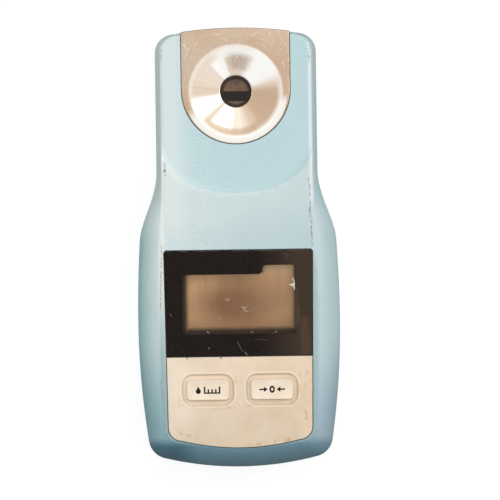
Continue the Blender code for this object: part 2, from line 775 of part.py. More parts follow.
def scoop_cutter():
    """What is taken off the head to lower its face, with a soft slope round the scoop."""
    rings = []
    for height_share, slope_share in SCOOP_WALL_SHARES:
        rings.append(level(scoop_outline(SCOOP_SLOPE * slope_share), HEAD_FACE + SCOOP_DEPTH * height_share))
    rings.append(level(scoop_outline(SCOOP_SLOPE), PAD_TOP + CUT_OVERRUN))
    return ring_mesh(rings)


def plate_outline(grow, end=None):
    """The sample plate: straight sides, a half round below, and the head's own arc above."""
    half = PLATE_WIDTH / 2 + grow
    crest = HEAD_END + grow if end is None else end
    points = arc(half, 0, PLATE_ROUND_Y, math.pi, 2 * math.pi, FINE_SEGMENTS // 2) + [(half, PLATE_ROUND_Y)]
    lean = math.asin(half / HEAD_END_ARC)
    crown_y = crest - HEAD_END_ARC
    points += arc(HEAD_END_ARC, 0, crown_y, math.pi / 2 - lean, math.pi / 2 + lean, 2 * ARC_STEPS)
    return points + [(-half, crown_y + HEAD_END_ARC * math.cos(lean))]


def half_width_at(y):
    """Half width of the label, which narrows towards the grip's end."""
    share = (LABEL_HIGH_Y - y) / LABEL_LENGTH
    return LABEL_TOP_WIDTH / 2 + (LABEL_LOW_WIDTH - LABEL_TOP_WIDTH) / 2 * share


def label_outline(high, low, round_low, grow=0):
    """Part of the label between two heights, its lowest edge sagging in an arc where it is the end."""
    top = half_width_at(high) + grow
    bottom = half_width_at(low) + grow
    corner = LABEL_CORNER + grow
    if not round_low:
        return [(top, high + grow), (top, high + grow - LABEL_TOP_CORNER), (bottom, low - grow),
                (-bottom, low - grow), (-top, high + grow - LABEL_TOP_CORNER), (-top, high + grow)]
    reach = bottom - corner
    low_y = low - grow
    sole_y = low_y + LABEL_SAG
    right = [(top, high + grow)]
    right += arc(corner, reach, sole_y + corner, 0, -math.pi / 2, CORNER_STEPS)
    right += [(x, low_y + LABEL_SAG * (x / reach) ** 2) for x in spread(reach, 0, ARC_STEPS)]
    return right + [(0, low_y)] + [(-x, y) for x, y in reversed(right)]


def window_outline(grow, corner=WINDOW_CORNER):
    """The clear area: a rectangle with a shallow tab at its upper right."""
    left, right = -WINDOW_LEFT - grow, WINDOW_RIGHT + grow
    low, high = WINDOW_LOW_Y - grow, WINDOW_HIGH_Y + grow
    tab_left, tab_high = WINDOW_TAB_LEFT - grow, high + WINDOW_TAB_LENGTH
    points = full_arc(corner, right - corner, low + corner, -math.pi / 2, 0, 2)
    points += full_arc(corner, right - corner, tab_high - corner, 0, math.pi / 2, 2)
    points += [(tab_left + corner, tab_high), (tab_left, high)]
    points += full_arc(corner, left + corner, high - corner, math.pi / 2, math.pi, 2)
    return points + full_arc(corner, left + corner, low + corner, math.pi, math.pi * 3 / 2, 2)


def mirrored(x):
    """The two sides of the meter, named as seen from the front."""
    return (("left", -x), ("right", x))


def case_screw_places():
    """Name, x and y of the four case screws."""
    head_x = HEAD_WIDTH / 2 - HEAD_SCREW_FROM_SIDE
    grip_x = GRIP_WIDTH / 2 - GRIP_SCREW_FROM_SIDE
    places = [("head_" + side, x, HEAD_END - HEAD_SCREW_FROM_END) for side, x in mirrored(head_x)]
    return places + [("grip_" + side, x, GRIP_END + GRIP_SCREW_FROM_END) for side, x in mirrored(grip_x)]


def board_post_places():
    """Name, x and y of the four posts that hold the main board."""
    rows = (("high_", BOARD_POST_HIGH_Y), ("low_", BOARD_POST_LOW_Y))
    return [(row + side, x, y) for row, y in rows for side, x in mirrored(BOARD_POST_SPACING / 2)]


def key_outline(width, length, corner, x):
    """A rounded rectangle about a key's middle."""
    return rounded_rectangle(width / 2, length / 2, corner, x, KEY_Y)


def make_front_case():
    """Front shell: flanks, raised pad, lowered head, and the seats of all that it carries."""
    case = part("front_case", front_skin(), "case_blue")
    cut(case, front_hollow())
    case_hole = CASE_SHANK_RADIUS + GAP
    small_hole = SMALL_SHANK_RADIUS + GAP
    boss_low = FRONT_RIM + GAP
    join(case, slab_mesh([plate_outline(LEDGE_BORDER, HEAD_END - WALL / 2)], LEDGE_LOW, CEILING + GAP))
    for _, x, y in case_screw_places():
        join(case, rod_mesh(BOSS_RADIUS, boss_low, CEILING + GAP, x, y, SMALL_SEGMENTS))
    for _, x, y in board_post_places():
        join(case, rod_mesh(POST_RADIUS, BOARD_TOP + GAP, CEILING + GAP, x, y, SMALL_SEGMENTS))
    for _, x in mirrored(EAR_X):
        join(case, rod_mesh(POST_RADIUS, EAR_TOP + GAP, CEILING + GAP, x, EAR_Y, SMALL_SEGMENTS))
    join(case, slab_mesh(rim_band(0), REAR_RIM - RIM_TONGUE, FRONT_RIM + GAP))
    cut(case, scoop_cutter())
    notch = slab_mesh([plate_outline(GAP, HEAD_END + CUT_OVERRUN)], LEDGE_TOP, HEAD_FACE + CUT_OVERRUN)
    well = PLATE_BOSS_RADIUS + GAP
    cut(case, notch, rod_mesh(well, LEDGE_LOW - CUT_OVERRUN, PAD_TOP, 0, DISH_Y, FINE_SEGMENTS))
    label = label_outline(LABEL_HIGH_Y, LABEL_LOW_Y, True, GAP)
    above = PAD_TOP + CUT_OVERRUN
    below = CEILING - CUT_OVERRUN
    cut(case, slab_mesh([label], LABEL_FLOOR, above))
    cut(case, slab_mesh([window_outline(WINDOW_FLANGE + GAP)], WINDOW_POCKET, above))
    cut(case, slab_mesh([window_outline(GAP)], below, above))
    for _, x in mirrored(KEY_SPACING / 2):
        flange = 2 * (KEY_FLANGE + GAP)
        opening = key_outline(KEY_WIDTH + flange, KEY_LENGTH + flange, KEY_CORNER, x)
        cut(case, slab_mesh([opening], below, above))
    for _, x, y in case_screw_places():
        hole_top = PARTING + CASE_SCREW_REACH + GAP
        cut(case, rod_mesh(case_hole, boss_low - CUT_OVERRUN, hole_top, x, y, SMALL_SEGMENTS))
    for _, x, y in board_post_places():
        hole_top = BOARD_TOP + SMALL_SCREW_REACH
        cut(case, rod_mesh(small_hole, BOARD_TOP, hole_top, x, y, SMALL_SEGMENTS))
    for _, x in mirrored(EAR_X):
        hole_top = EAR_TOP + SMALL_SCREW_REACH
        cut(case, rod_mesh(small_hole, EAR_TOP, hole_top, x, EAR_Y, SMALL_SEGMENTS))


def door_outline(grow):
    """The battery door's outline, grown or drawn in."""
    middle = (DOOR_LOW_Y + DOOR_HIGH_Y) / 2
    return rounded_rectangle(DOOR_WIDTH / 2 + grow, DOOR_LENGTH / 2 + grow, DOOR_CORNER + grow, 0, middle)


def door_seal_outline(grow):
    """Outer line of the door's gasket, grown or drawn in."""
    half_x = DOOR_WIDTH / 2 - DOOR_SEAL_SIDE + grow
    half_y = BAY_LENGTH / 2 + DOOR_SEAL_FROM_BAY + DOOR_SEAL_WIDTH + grow
    return rounded_rectangle(half_x, half_y, DOOR_SEAL_CORNER + grow, 0, (BAY_LOW_Y + BAY_HIGH_Y) / 2)


def make_rear_case():
    """Rear shell: flanks, flat back, battery bay, screw pillars and the seat of the door."""
    case = part("rear_case", rear_skin(), "case_blue")
    cut(case, rear_hollow())
    root = FLOOR / 2
    bay_y = (BAY_LOW_Y + BAY_HIGH_Y) / 2
    middle = (DOOR_LOW_Y + DOOR_HIGH_Y) / 2
    border = LAND_BORDER + GAP
    land = rounded_rectangle(DOOR_WIDTH / 2 + border, DOOR_LENGTH / 2 + border, DOOR_CORNER, 0, middle)
    bay = rounded_rectangle(BAY_HALF + BAY_WALL, BAY_LENGTH / 2 + BAY_WALL, BAY_CORNER, 0, bay_y)
    join(case, slab_mesh([land], root, LAND_TOP), slab_mesh([bay], root, BAY_TOP + BAY_ROOF))
    for _, y in DOOR_SCREW_PLACES:
        join(case, rod_mesh(INSERT_BOSS_RADIUS, root, INSERT_HIGH + GAP + INSERT_BOSS_ROOF, 0, y))
    for _, x, y in case_screw_places():
        join(case, rod_mesh(PILLAR_RADIUS, root, REAR_RIM - GAP, x, y, SMALL_SEGMENTS))
    cut(case, slab_mesh([door_outline(GAP)], -CUT_OVERRUN, DOOR_LEDGE))
    room = rounded_rectangle(BAY_HALF, BAY_LENGTH / 2, BAY_CORNER, 0, bay_y)
    cut(case, slab_mesh([room], DOOR_SINK, BAY_TOP))
    groove_top = DOOR_LEDGE + DOOR_SEAL_HEIGHT + GAP
    groove = [door_seal_outline(GAP), door_seal_outline(-DOOR_SEAL_WIDTH - GAP)]
    cut(case, slab_mesh(groove, DOOR_SINK, groove_top))
    for _, y in DOOR_SCREW_PLACES:
        cut(case, rod_mesh(INSERT_RADIUS + GAP, DOOR_SINK, INSERT_HIGH + GAP, 0, y))
    for _, x, y in case_screw_places():
        cut(case, rod_mesh(CASE_HEAD_RADIUS + GAP, -CUT_OVERRUN, CASE_SCREW_SEAT, x, y, SMALL_SEGMENTS))
        cut(case, rod_mesh(CASE_SHANK_RADIUS + GAP, 0, REAR_RIM + CUT_OVERRUN, x, y, SMALL_SEGMENTS))
    cut(case, slab_mesh(rim_band(GAP), RIM_SEAL_TOP - RIM_SEAL_HEIGHT - GAP, REAR_RIM + CUT_OVERRUN))
    for _, x in mirrored(CELL_SPACING / 2):
        high = BAY_HIGH_Y - GAP - CONTACT_THICKNESS / 2
        slot = CONTACT_TAIL / 2 + GAP
        deep = CONTACT_THICKNESS / 2 + GAP
        cut(case, box_mesh((x - slot, high - deep, BAY_TOP - CUT_OVERRUN),
                           (x + slot, high + deep, BAY_TOP + BAY_ROOF + CUT_OVERRUN)))


def make_case_seal():
    """Gasket in the rim between the two shells."""
    part("case_seal", slab_mesh(rim_band(0), RIM_SEAL_TOP - RIM_SEAL_HEIGHT, RIM_SEAL_TOP), "rubber")


def make_plate():
    """Stainless sample plate: flange, boss below, turned dish and prism hole."""
    rings = [level(plate_outline(0), PLATE_LOW), level(plate_outline(0), HEAD_FACE - PLATE_EDGE),
             level(plate_outline(-PLATE_EDGE), HEAD_FACE)]
    plate = part("prism_plate", ring_mesh(rings), "steel")
    boss_top = PLATE_LOW + PLATE_THICKNESS / 2
    chamfer = PLATE_BOSS_RADIUS - PLATE_BOSS_CHAMFER
    profile = [(0, boss_top), (PLATE_BOSS_RADIUS, boss_top),
               (PLATE_BOSS_RADIUS, PLATE_UNDER + PLATE_BOSS_CHAMFER),
               (chamfer, PLATE_UNDER), (0, PLATE_UNDER)]
    place = Matrix.Translation((0, DISH_Y, 0))
    join(plate, turned_mesh(profile, place))
    above = HEAD_FACE + CUT_OVERRUN
    dish = [(0, above), (DISH_RIM_RADIUS, above), (DISH_RIM_RADIUS, HEAD_FACE),
            (DISH_RADIUS, HEAD_FACE - DISH_RIM_DROP), (HOLE_RADIUS, HEAD_FACE - DISH_DEPTH),
            (0, HEAD_FACE - DISH_DEPTH)]
    cut(plate, turned_mesh(dish, place))
    cut(plate, rod_mesh(HOLE_RADIUS, PLATE_UNDER - CUT_OVERRUN, above, 0, DISH_Y, FINE_SEGMENTS))


def make_label():
    """Display panel, keypad panel and the clear window."""
    high = label_outline(LABEL_HIGH_Y, PANEL_SPLIT_Y + PANEL_SEAM, False)
    panel = slab_mesh([high, window_outline(WINDOW_FIT)], LABEL_UNDER, LABEL_TOP)
    part("display_panel", panel, "black_print")
    low = label_outline(PANEL_SPLIT_Y - PANEL_SEAM, LABEL_LOW_Y, True)
    holes = []
    for _, x in mirrored(KEY_SPACING / 2):
        holes.append(key_outline(KEY_WIDTH + 2 * GAP, KEY_LENGTH + 2 * GAP, KEY_CORNER, x))
    keypad = part("keypad_overlay", slab_mesh([low, *holes], LABEL_UNDER, LABEL_TOP), "cream_print")
    for _, x in mirrored(KEY_SPACING / 2):
        moat = key_outline(KEY_MOAT_WIDTH, KEY_MOAT_LENGTH, KEY_MOAT_CORNER, x)
        cut(keypad, slab_mesh([moat], LABEL_TOP - KEY_MOAT_DEPTH, LABEL_TOP + CUT_OVERRUN))
    rings = [level(window_outline(WINDOW_FLANGE), WINDOW_UNDER),
             level(window_outline(WINDOW_FLANGE), WINDOW_FLANGE_TOP),
             level(window_outline(-WINDOW_FIT), WINDOW_FLANGE_TOP),
             level(window_outline(-WINDOW_FIT), LABEL_TOP)]
    part("display_window", ring_mesh(rings), "clear_lens")


def display_box(margin, low, high):
    """A flat box behind the window, larger than it by a margin."""
    high_y = WINDOW_HIGH_Y + WINDOW_TAB_LENGTH + margin
    return box_mesh((-WINDOW_LEFT - margin, WINDOW_LOW_Y - margin, low),
                    (WINDOW_RIGHT + margin, high_y, high))


def make_display():
    """Display glass, the frame that holds it off the board, and two connector strips."""
    part("lcd_glass", display_box(LCD_MARGIN, LCD_UNDER, LCD_TOP), "lcd_glass")
    low, high = BOARD_TOP + GAP, LCD_FRAME_TOP
    frame = part("lcd_frame", display_box(LCD_MARGIN, low, high), "dark_plastic")
    cut(frame, display_box(LCD_MARGIN - LCD_FRAME_WALL, low - CUT_OVERRUN, high + CUT_OVERRUN))
    reach = WINDOW_LEFT + LCD_MARGIN - LCD_FRAME_WALL - GAP
    outer = LCD_MARGIN - LCD_FRAME_WALL - GAP
    high_edge = WINDOW_HIGH_Y + WINDOW_TAB_LENGTH + outer - STRIP_WIDTH
    for name, edge in (("high", high_edge), ("low", WINDOW_LOW_Y - outer)):
        part("lcd_strip_" + name, box_mesh((-reach, edge, low), (reach, edge + STRIP_WIDTH, high)), "rubber")


def make_keys():
    """Two keys, each with its plunger and the switch below it."""
    for name, x in zip(("read", "zero"), (-KEY_SPACING / 2, KEY_SPACING / 2)):
        flange = key_outline(KEY_WIDTH + 2 * KEY_FLANGE, KEY_LENGTH + 2 * KEY_FLANGE, KEY_CORNER, x)
        cap = key_outline(KEY_WIDTH, KEY_LENGTH, KEY_CORNER, x)
        crown = key_outline(KEY_WIDTH - 2 * KEY_CROWN, KEY_LENGTH - 2 * KEY_CROWN, KEY_CORNER, x)
        rings = [level(flange, KEY_UNDER), level(flange, KEY_FLANGE_TOP), level(cap, KEY_FLANGE_TOP),
                 level(cap, KEY_TOP - KEY_CROWN), level(crown, KEY_TOP)]
        axis = (x, KEY_Y, 0)
        part(name + "_key", ring_mesh(rings), "cream_print", axis)
        plunger = rod_mesh(PLUNGER_RADIUS, PLUNGER_UNDER, PLUNGER_TOP, x, KEY_Y, SMALL_SEGMENTS)
        part(name + "_plunger", plunger, "dark_plastic", axis)
        half = SWITCH_SIZE / 2
        body = box_mesh((x - half, KEY_Y - half, BOARD_TOP + GAP), (x + half, KEY_Y + half, SWITCH_TOP))
        switch = part(name + "_switch", body, "dark_plastic")
        well = PLUNGER_RADIUS + GAP
        well_low = SWITCH_TOP - SWITCH_WELL
        cut(switch, rod_mesh(well, well_low, SWITCH_TOP + CUT_OVERRUN, x, KEY_Y, SMALL_SEGMENTS))


def screw_mesh(head_radius, head_low, seat, shank_radius, tip, frame):
    """A flat-headed screw, head down, turned from one profile."""
    profile = [(0, tip), (shank_radius, tip), (shank_radius, seat), (head_radius, seat),
               (head_radius, head_low), (0, head_low)]
    return turned_mesh(profile, frame, SMALL_SEGMENTS)


def add_cross(screw, x, y, head_low):
    """The cross recess in a screw's head."""
    long, short = CROSS_LENGTH / 2, CROSS_WIDTH / 2
    for half_x, half_y in ((long, short), (short, long)):
        cut(screw, box_mesh((x - half_x, y - half_y, head_low - CUT_OVERRUN),
                            (x + half_x, y + half_y, head_low + CROSS_DEPTH)))


def make_board():
    """Main board, clear of the case's bosses, its processor and the four screws that hold it."""
    half = BOARD_WIDTH / 2
    middle = (BOARD_LOW_Y + BOARD_HIGH_Y) / 2
    shape = rounded_rectangle(half, (BOARD_HIGH_Y - BOARD_LOW_Y) / 2, BOARD_CORNER, 0, middle)
    board = part("main_board", slab_mesh([shape], BOARD_UNDER, BOARD_TOP), "board_green")
    hole = SMALL_SHANK_RADIUS + GAP
    seat = BOARD_UNDER - GAP
    below, above = BOARD_UNDER - CUT_OVERRUN, BOARD_TOP + CUT_OVERRUN
    for _, x, y in case_screw_places():
        cut(board, rod_mesh(BOSS_RADIUS + GAP, below, above, x, y, SMALL_SEGMENTS))
    for name, x, y in board_post_places():
        cut(board, rod_mesh(hole, below, above, x, y, SMALL_SEGMENTS))
        shape = screw_mesh(SMALL_HEAD_RADIUS, seat - SMALL_HEAD_HEIGHT, seat, SMALL_SHANK_RADIUS,
                           BOARD_TOP + SMALL_SCREW_REACH - GAP, Matrix.Translation((x, y, 0)))
        part("board_screw_" + name, shape, "zinc")
    half = CHIP_SIZE / 2
    chip_y = GRIP_END + CHIP_FROM_END
    chip = box_mesh((-half, chip_y - half, seat - CHIP_THICKNESS), (half, chip_y + half, seat))
    part("processor_chip", chip, "dark_plastic")


def make_case_screws():
    """The four screws that hold the shells together, sunk in the back."""
    for name, x, y in case_screw_places():
        seat = CASE_SCREW_SEAT - GAP
        head_low = seat - CASE_HEAD_HEIGHT
        shape = screw_mesh(CASE_HEAD_RADIUS, head_low, seat, CASE_SHANK_RADIUS, PARTING + CASE_SCREW_REACH,
                           Matrix.Translation((x, y, 0)))
        add_cross(part("case_screw_" + name, shape, "zinc"), x, y, head_low)


def make_door():
    """Battery door, its gasket, its two captive screws and their inserts."""
    rings = [level(door_outline(-DOOR_EDGE), DOOR_SINK), level(door_outline(0), DOOR_SINK + DOOR_EDGE),
             level(door_outline(0), DOOR_TOP)]
    door = part("battery_door", ring_mesh(rings), "case_blue")
    for name, y in DOOR_SCREW_PLACES:
        cut(door, rod_mesh(DOOR_HEAD_RADIUS + GAP, DOOR_SINK - CUT_OVERRUN, DOOR_SCREW_SEAT + GAP, 0, y))
        cut(door, rod_mesh(DOOR_SHANK_RADIUS + GAP, DOOR_SINK, DOOR_TOP + CUT_OVERRUN, 0, y, SMALL_SEGMENTS))
        head_low = DOOR_SINK + GAP
        shape = screw_mesh(DOOR_HEAD_RADIUS, head_low, DOOR_SCREW_SEAT, DOOR_SHANK_RADIUS,
                           DOOR_SCREW_SEAT + DOOR_SCREW_REACH, Matrix.Translation((0, y, 0)))
        screw = part("door_screw_" + name, shape, "zinc", (0, y, 0))
        add_cross(screw, 0, y, head_low)
        insert = part("door_insert_" + name, rod_mesh(INSERT_RADIUS, INSERT_LOW, INSERT_HIGH, 0, y), "brass")
        below, above = INSERT_LOW - CUT_OVERRUN, INSERT_HIGH + CUT_OVERRUN
        cut(insert, rod_mesh(DOOR_SHANK_RADIUS + GAP, below, above, 0, y, SMALL_SEGMENTS))
    seal = [door_seal_outline(0), door_seal_outline(-DOOR_SEAL_WIDTH)]
    part("door_seal", slab_mesh(seal, DOOR_LEDGE, DOOR_LEDGE + DOOR_SEAL_HEIGHT), "rubber")


def cell_mesh(x, low_y, up):
    """One cell along Y, its nub towards the head where up is 1."""
    can_top = CELL_LENGTH - CELL_NUB_LENGTH
    face = CELL_RADIUS - CELL_EDGE
    profile = [(0, CELL_LENGTH), (CELL_NUB_RADIUS, CELL_LENGTH), (CELL_NUB_RADIUS, can_top), (face, can_top),
               (CELL_RADIUS, can_top - CELL_EDGE), (CELL_RADIUS, CELL_EDGE), (face, 0), (0, 0)]
    if up > 0:
        lay = Matrix.Translation((x, low_y, CELL_Z)) @ Matrix.Rotation(-math.pi / 2, 4, "X")
    else:
        lay = Matrix.Translation((x, low_y + CELL_LENGTH, CELL_Z)) @ Matrix.Rotation(math.pi / 2, 4, "X")
    return turned_mesh(profile, lay, ROUND_SEGMENTS)


def spring_mesh(x, wall_y, cell_y):
    """A conical spring from its contact plate to the flat end of a cell."""
    side = 1 if cell_y > wall_y else -1
    start = wall_y + side * (GAP + SPRING_WIRE_RADIUS)
    end = cell_y - side * (GAP + SPRING_WIRE_RADIUS)
    count = SPRING_TURNS * SPRING_POINTS_A_TURN
    points = []
    for step in range(count + 1):
        share = step / count
        radius = SPRING_WIDE_RADIUS + (SPRING_NARROW_RADIUS - SPRING_WIDE_RADIUS) * share
        angle = 2 * math.pi * SPRING_TURNS * share
        y = start + (end - start) * share
        points.append((x + radius * math.cos(angle), y, CELL_Z + radius * math.sin(angle)))
    return tube_mesh(points, SPRING_WIRE_RADIUS)


def contact_outline(x):
    """A square contact plate with a tail that rises to the main board."""
    half, tail = CONTACT_SIZE / 2, CONTACT_TAIL / 2
    low, high = CELL_Z - half, CELL_Z + half
    top = BOARD_UNDER - GAP
    return [(x - half, low), (x + half, low), (x + half, high), (x + tail, high), (x + tail, top),
            (x - tail, top), (x - tail, high), (x - half, high)]


def make_cells():
    """Two cells side by side, head to tail, with their contacts and springs."""
    x = CELL_SPACING / 2
    high_wall = BAY_HIGH_Y - GAP - CONTACT_THICKNESS
    low_wall = BAY_LOW_Y + GAP + CONTACT_THICKNESS
    left_low = high_wall - GAP - CELL_LENGTH
    right_low = low_wall + GAP
    part("battery_left", cell_mesh(-x, left_low, 1), "cell_wrap")
    part("battery_right", cell_mesh(x, right_low, -1), "cell_wrap")
    part("contact_spring_left", spring_mesh(-x, low_wall, left_low), "nickel")
    part("contact_spring_right", spring_mesh(x, high_wall, right_low + CELL_LENGTH), "nickel")
    for name, at in (("positive_contact", -x), ("negative_contact", x)):
        plate = slab_mesh([contact_outline(at)], -high_wall - CONTACT_THICKNESS, -high_wall, ENDWAYS)
        part(name, plate, "nickel")
    half = CONTACT_SIZE / 2
    bridge = box_mesh((-x - half, low_wall - CONTACT_THICKNESS, CELL_Z - half),
                      (x + half, low_wall, CELL_Z + half))
    part("contact_bridge", bridge, "nickel")


def slanted_frame(side):
    """Frame on a slanted face of the optics block: its Z runs up the bore to the prism."""
    bore = Vector((0, -side, 1)).normalized()
    across = Vector((1, 0, 0))
    along = bore.cross(across)
    place = Vector((0, DISH_Y + side * FACE_Y, FACE_Z))
    return Matrix.Translation(place) @ Matrix((across, along, bore)).transposed().to_4x4()


def prism_outline(grow, top):
    """The prism from the side, its two lower corners cut at 45 degrees."""
    corner = grow * math.tan(math.pi / 8)
    half = PRISM_LENGTH / 2
    shoulder = PRISM_TOP - PRISM_SIDE
    right = [(half + grow, top), (half + grow, shoulder - corner),
             (half - PRISM_SLANT + corner, shoulder - PRISM_SLANT - grow)]
    return [(DISH_Y + y, z) for y, z in right] + [(DISH_Y - y, z) for y, z in reversed(right)]


def make_prism():
    """Prism below the dish, with its gasket."""
    half = PRISM_WIDTH / 2
    part("prism", slab_mesh([prism_outline(0, PRISM_TOP)], -half, half, SIDEWAYS), "prism_glass")
    low = PRISM_TOP + GAP
    outer = PRISM_SEAL_INNER + PRISM_SEAL_WIDTH
    seal = part("prism_seal", rod_mesh(outer, low, low + PRISM_SEAL_THICKNESS, 0, DISH_Y), "rubber")
    cut(seal, rod_mesh(PRISM_SEAL_INNER, low - CUT_OVERRUN, low + CUT_OVERRUN, 0, DISH_Y))


def make_optics_block():
    """Block that holds the prism, the lamp's bore and the sensor's bore, and its two screws."""
    half = BLOCK_WIDTH / 2
    high, low = FACE_Z + BLOCK_FACE_RUN, FACE_Z - BLOCK_FACE_RUN
    narrow = FACE_Y - BLOCK_FACE_RUN
    right = [(BLOCK_HALF, BLOCK_TOP), (BLOCK_HALF, high), (narrow, low)]
    side_view = [(DISH_Y + y, z) for y, z in right] + [(DISH_Y - y, z) for y, z in reversed(right)]
    block = part("optics_block", slab_mesh([side_view], -half, half, SIDEWAYS), "dark_plastic")
    ear_low = EAR_TOP - EAR_THICKNESS
    hole = SMALL_SHANK_RADIUS + GAP
    for name, x in mirrored(EAR_X):
        inner = math.copysign(half - EAR_LAP, x)
        outer = math.copysign(half + EAR_WIDTH, x)
        join(block, box_mesh((min(inner, outer), EAR_Y - EAR_LENGTH / 2, ear_low),
                             (max(inner, outer), EAR_Y + EAR_LENGTH / 2, EAR_TOP)))
        cut(block, rod_mesh(hole, ear_low - CUT_OVERRUN, EAR_TOP + CUT_OVERRUN, x, EAR_Y, SMALL_SEGMENTS))
        seat = ear_low - GAP
        shape = screw_mesh(SMALL_HEAD_RADIUS, seat - SMALL_HEAD_HEIGHT, seat, SMALL_SHANK_RADIUS,
                           EAR_TOP + SMALL_SCREW_REACH - GAP, Matrix.Translation((x, EAR_Y, 0)))
        part("optics_screw_" + name, shape, "zinc")
    pocket = PRISM_WIDTH / 2 + GAP
    cut(block, slab_mesh([prism_outline(GAP, BLOCK_TOP + CUT_OVERRUN)], -pocket, pocket, SIDEWAYS))
    for side in (1, -1):
        bore = rod_mesh(BORE_RADIUS, -CUT_OVERRUN, BORE_RUN * math.sqrt(2), frame=slanted_frame(side))
        cut(block, bore)


def lens_mesh(place, frame):
    """A biconvex lens across the bore."""
    profile = []
    edge = LENS_THICKNESS / 2 - LENS_CROWN
    for step in range(CORNER_STEPS):
        share = step / CORNER_STEPS
        profile.append((LENS_RADIUS * share, edge + LENS_CROWN * (1 - share ** 2)))
    profile.append((LENS_RADIUS, edge))
    profile += [(r, -z) for r, z in reversed(profile)]
    return turned_mesh([(r, place + z) for r, z in profile], frame, SMALL_SEGMENTS)


def make_lamp_and_sensor():
    """Lamp and line sensor on their small boards, each with its lens in the bore."""
    half_x, half_y = CARRIER_WIDTH / 2, CARRIER_LENGTH / 2
    lamp, sensor = slanted_frame(1), slanted_frame(-1)
    for name, frame in (("led_board", lamp), ("sensor_board", sensor)):
        part(name, box_mesh((-half_x, -half_y, -GAP - CARRIER_THICKNESS), (half_x, half_y, -GAP), frame),
             "board_green")
    dome = [(LED_RADIUS * math.cos(turn), LED_LENGTH - LED_RADIUS + LED_RADIUS * math.sin(turn))
            for turn in spread(math.pi / 2, 0, CORNER_STEPS)]
    dome[0] = (0, LED_LENGTH)
    profile = dome + [(LED_RADIUS, LED_LENGTH - LED_RADIUS), (LED_RADIUS, 0), (0, 0)]
    part("led", turned_mesh(profile, lamp, SMALL_SEGMENTS), "clear_lens")
    part("collimating_lens", lens_mesh(COLLIMATOR_PLACE, lamp), "clear_lens")
    part("focusing_lens", lens_mesh(FOCUS_PLACE, sensor), "clear_lens")
    half_x, half_y = SENSOR_WIDTH / 2, SENSOR_LENGTH / 2
    chip = box_mesh((-half_x, -half_y, 0), (half_x, half_y, SENSOR_THICKNESS), sensor)
    part("line_sensor", chip, "dark_plastic")
    top = PLATE_UNDER - GAP
    half = PROBE_SIZE / 2
    part("temperature_sensor", box_mesh((PROBE_FROM_MIDDLE - half, DISH_Y - half, top - PROBE_HEIGHT),
                                        (PROBE_FROM_MIDDLE + half, DISH_Y + half, top)), "dark_plastic")


def bend(start, corner, end):
    """A quadratic bend between two straight runs that meet at a corner."""
    points = []
    for step in range(CORNER_STEPS + 1):
        share = step / CORNER_STEPS
        points.append(tuple((1 - share) ** 2 * a + 2 * share * (1 - share) * b + share ** 2 * c
                            for a, b, c in zip(start, corner, end)))
    return points


def on_face(side, along):
    """A (y, z) place just off the outer side of a carrier board."""
    off = -2 * GAP - CARRIER_THICKNESS - RIBBON_THICKNESS / 2
    place = slanted_frame(side) @ Vector((0, along, off))
    return place.y, place.z


def make_ribbons():
    """Flat ribbon from the sensor to the main board, and the lamp's flat lead below the block."""
    reach = CARRIER_LENGTH / 2 + RIBBON_TURN
    start = on_face(-1, -reach)
    under = BOARD_UNDER - GAP - RIBBON_THICKNESS / 2
    corner = (start[0] - (under - start[1]), under)
    run = corner[0] - (start[0] - corner[0])
    path = [on_face(-1, 0)] + bend(start, corner, (run, under)) + [(BOARD_HIGH_Y - RIBBON_LAP, under)]
    part("sensor_ribbon", strip_mesh(path, RIBBON_WIDTH, RIBBON_THICKNESS), "ribbon")
    turn = on_face(1, -reach)
    corner = (turn[0] - RIBBON_TURN, turn[1] - RIBBON_TURN)
    run = (corner[0] - RIBBON_TURN, corner[1])
    half_path = [on_face(1, -reach / 2)] + bend(turn, corner, run)
    path = half_path + [(2 * DISH_Y - y, z) for y, z in reversed(half_path)]
    part("lamp_lead", strip_mesh(path, LAMP_LEAD_WIDTH, RIBBON_THICKNESS), "ribbon")


make_front_case()
make_rear_case()
make_case_seal()
make_plate()
make_label()
make_display()
make_keys()
make_board()
make_case_screws()
make_door()
make_cells()
make_prism()
make_optics_block()
make_lamp_and_sensor()
make_ribbons()
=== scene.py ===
"""Looks of the hand-held digital refractometer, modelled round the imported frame.

Metres. +Z points out of the display face and +Y towards the sample plate.
"""

import functools
import json
import math
from collections import namedtuple

import bmesh
import bpy
import numpy as np
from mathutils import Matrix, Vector
from mathutils.geometry import delaunay_2d_cdt

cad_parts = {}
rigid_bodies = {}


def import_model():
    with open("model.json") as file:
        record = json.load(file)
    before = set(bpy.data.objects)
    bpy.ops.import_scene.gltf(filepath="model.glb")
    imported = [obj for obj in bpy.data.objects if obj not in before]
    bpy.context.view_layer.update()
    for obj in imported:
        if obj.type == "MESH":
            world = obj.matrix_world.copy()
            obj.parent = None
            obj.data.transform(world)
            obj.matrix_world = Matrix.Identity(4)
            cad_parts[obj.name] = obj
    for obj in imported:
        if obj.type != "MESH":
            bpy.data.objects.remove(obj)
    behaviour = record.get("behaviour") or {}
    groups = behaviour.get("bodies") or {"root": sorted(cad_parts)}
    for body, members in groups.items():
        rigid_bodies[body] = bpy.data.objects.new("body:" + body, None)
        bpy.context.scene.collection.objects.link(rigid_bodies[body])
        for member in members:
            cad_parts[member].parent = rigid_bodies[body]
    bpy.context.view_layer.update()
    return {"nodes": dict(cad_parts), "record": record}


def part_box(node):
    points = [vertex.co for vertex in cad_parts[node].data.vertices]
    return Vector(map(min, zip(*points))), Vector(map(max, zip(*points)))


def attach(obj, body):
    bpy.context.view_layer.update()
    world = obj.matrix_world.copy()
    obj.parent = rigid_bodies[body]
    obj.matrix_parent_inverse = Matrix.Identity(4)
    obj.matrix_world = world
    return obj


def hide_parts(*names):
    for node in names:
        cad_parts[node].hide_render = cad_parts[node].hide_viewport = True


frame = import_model()

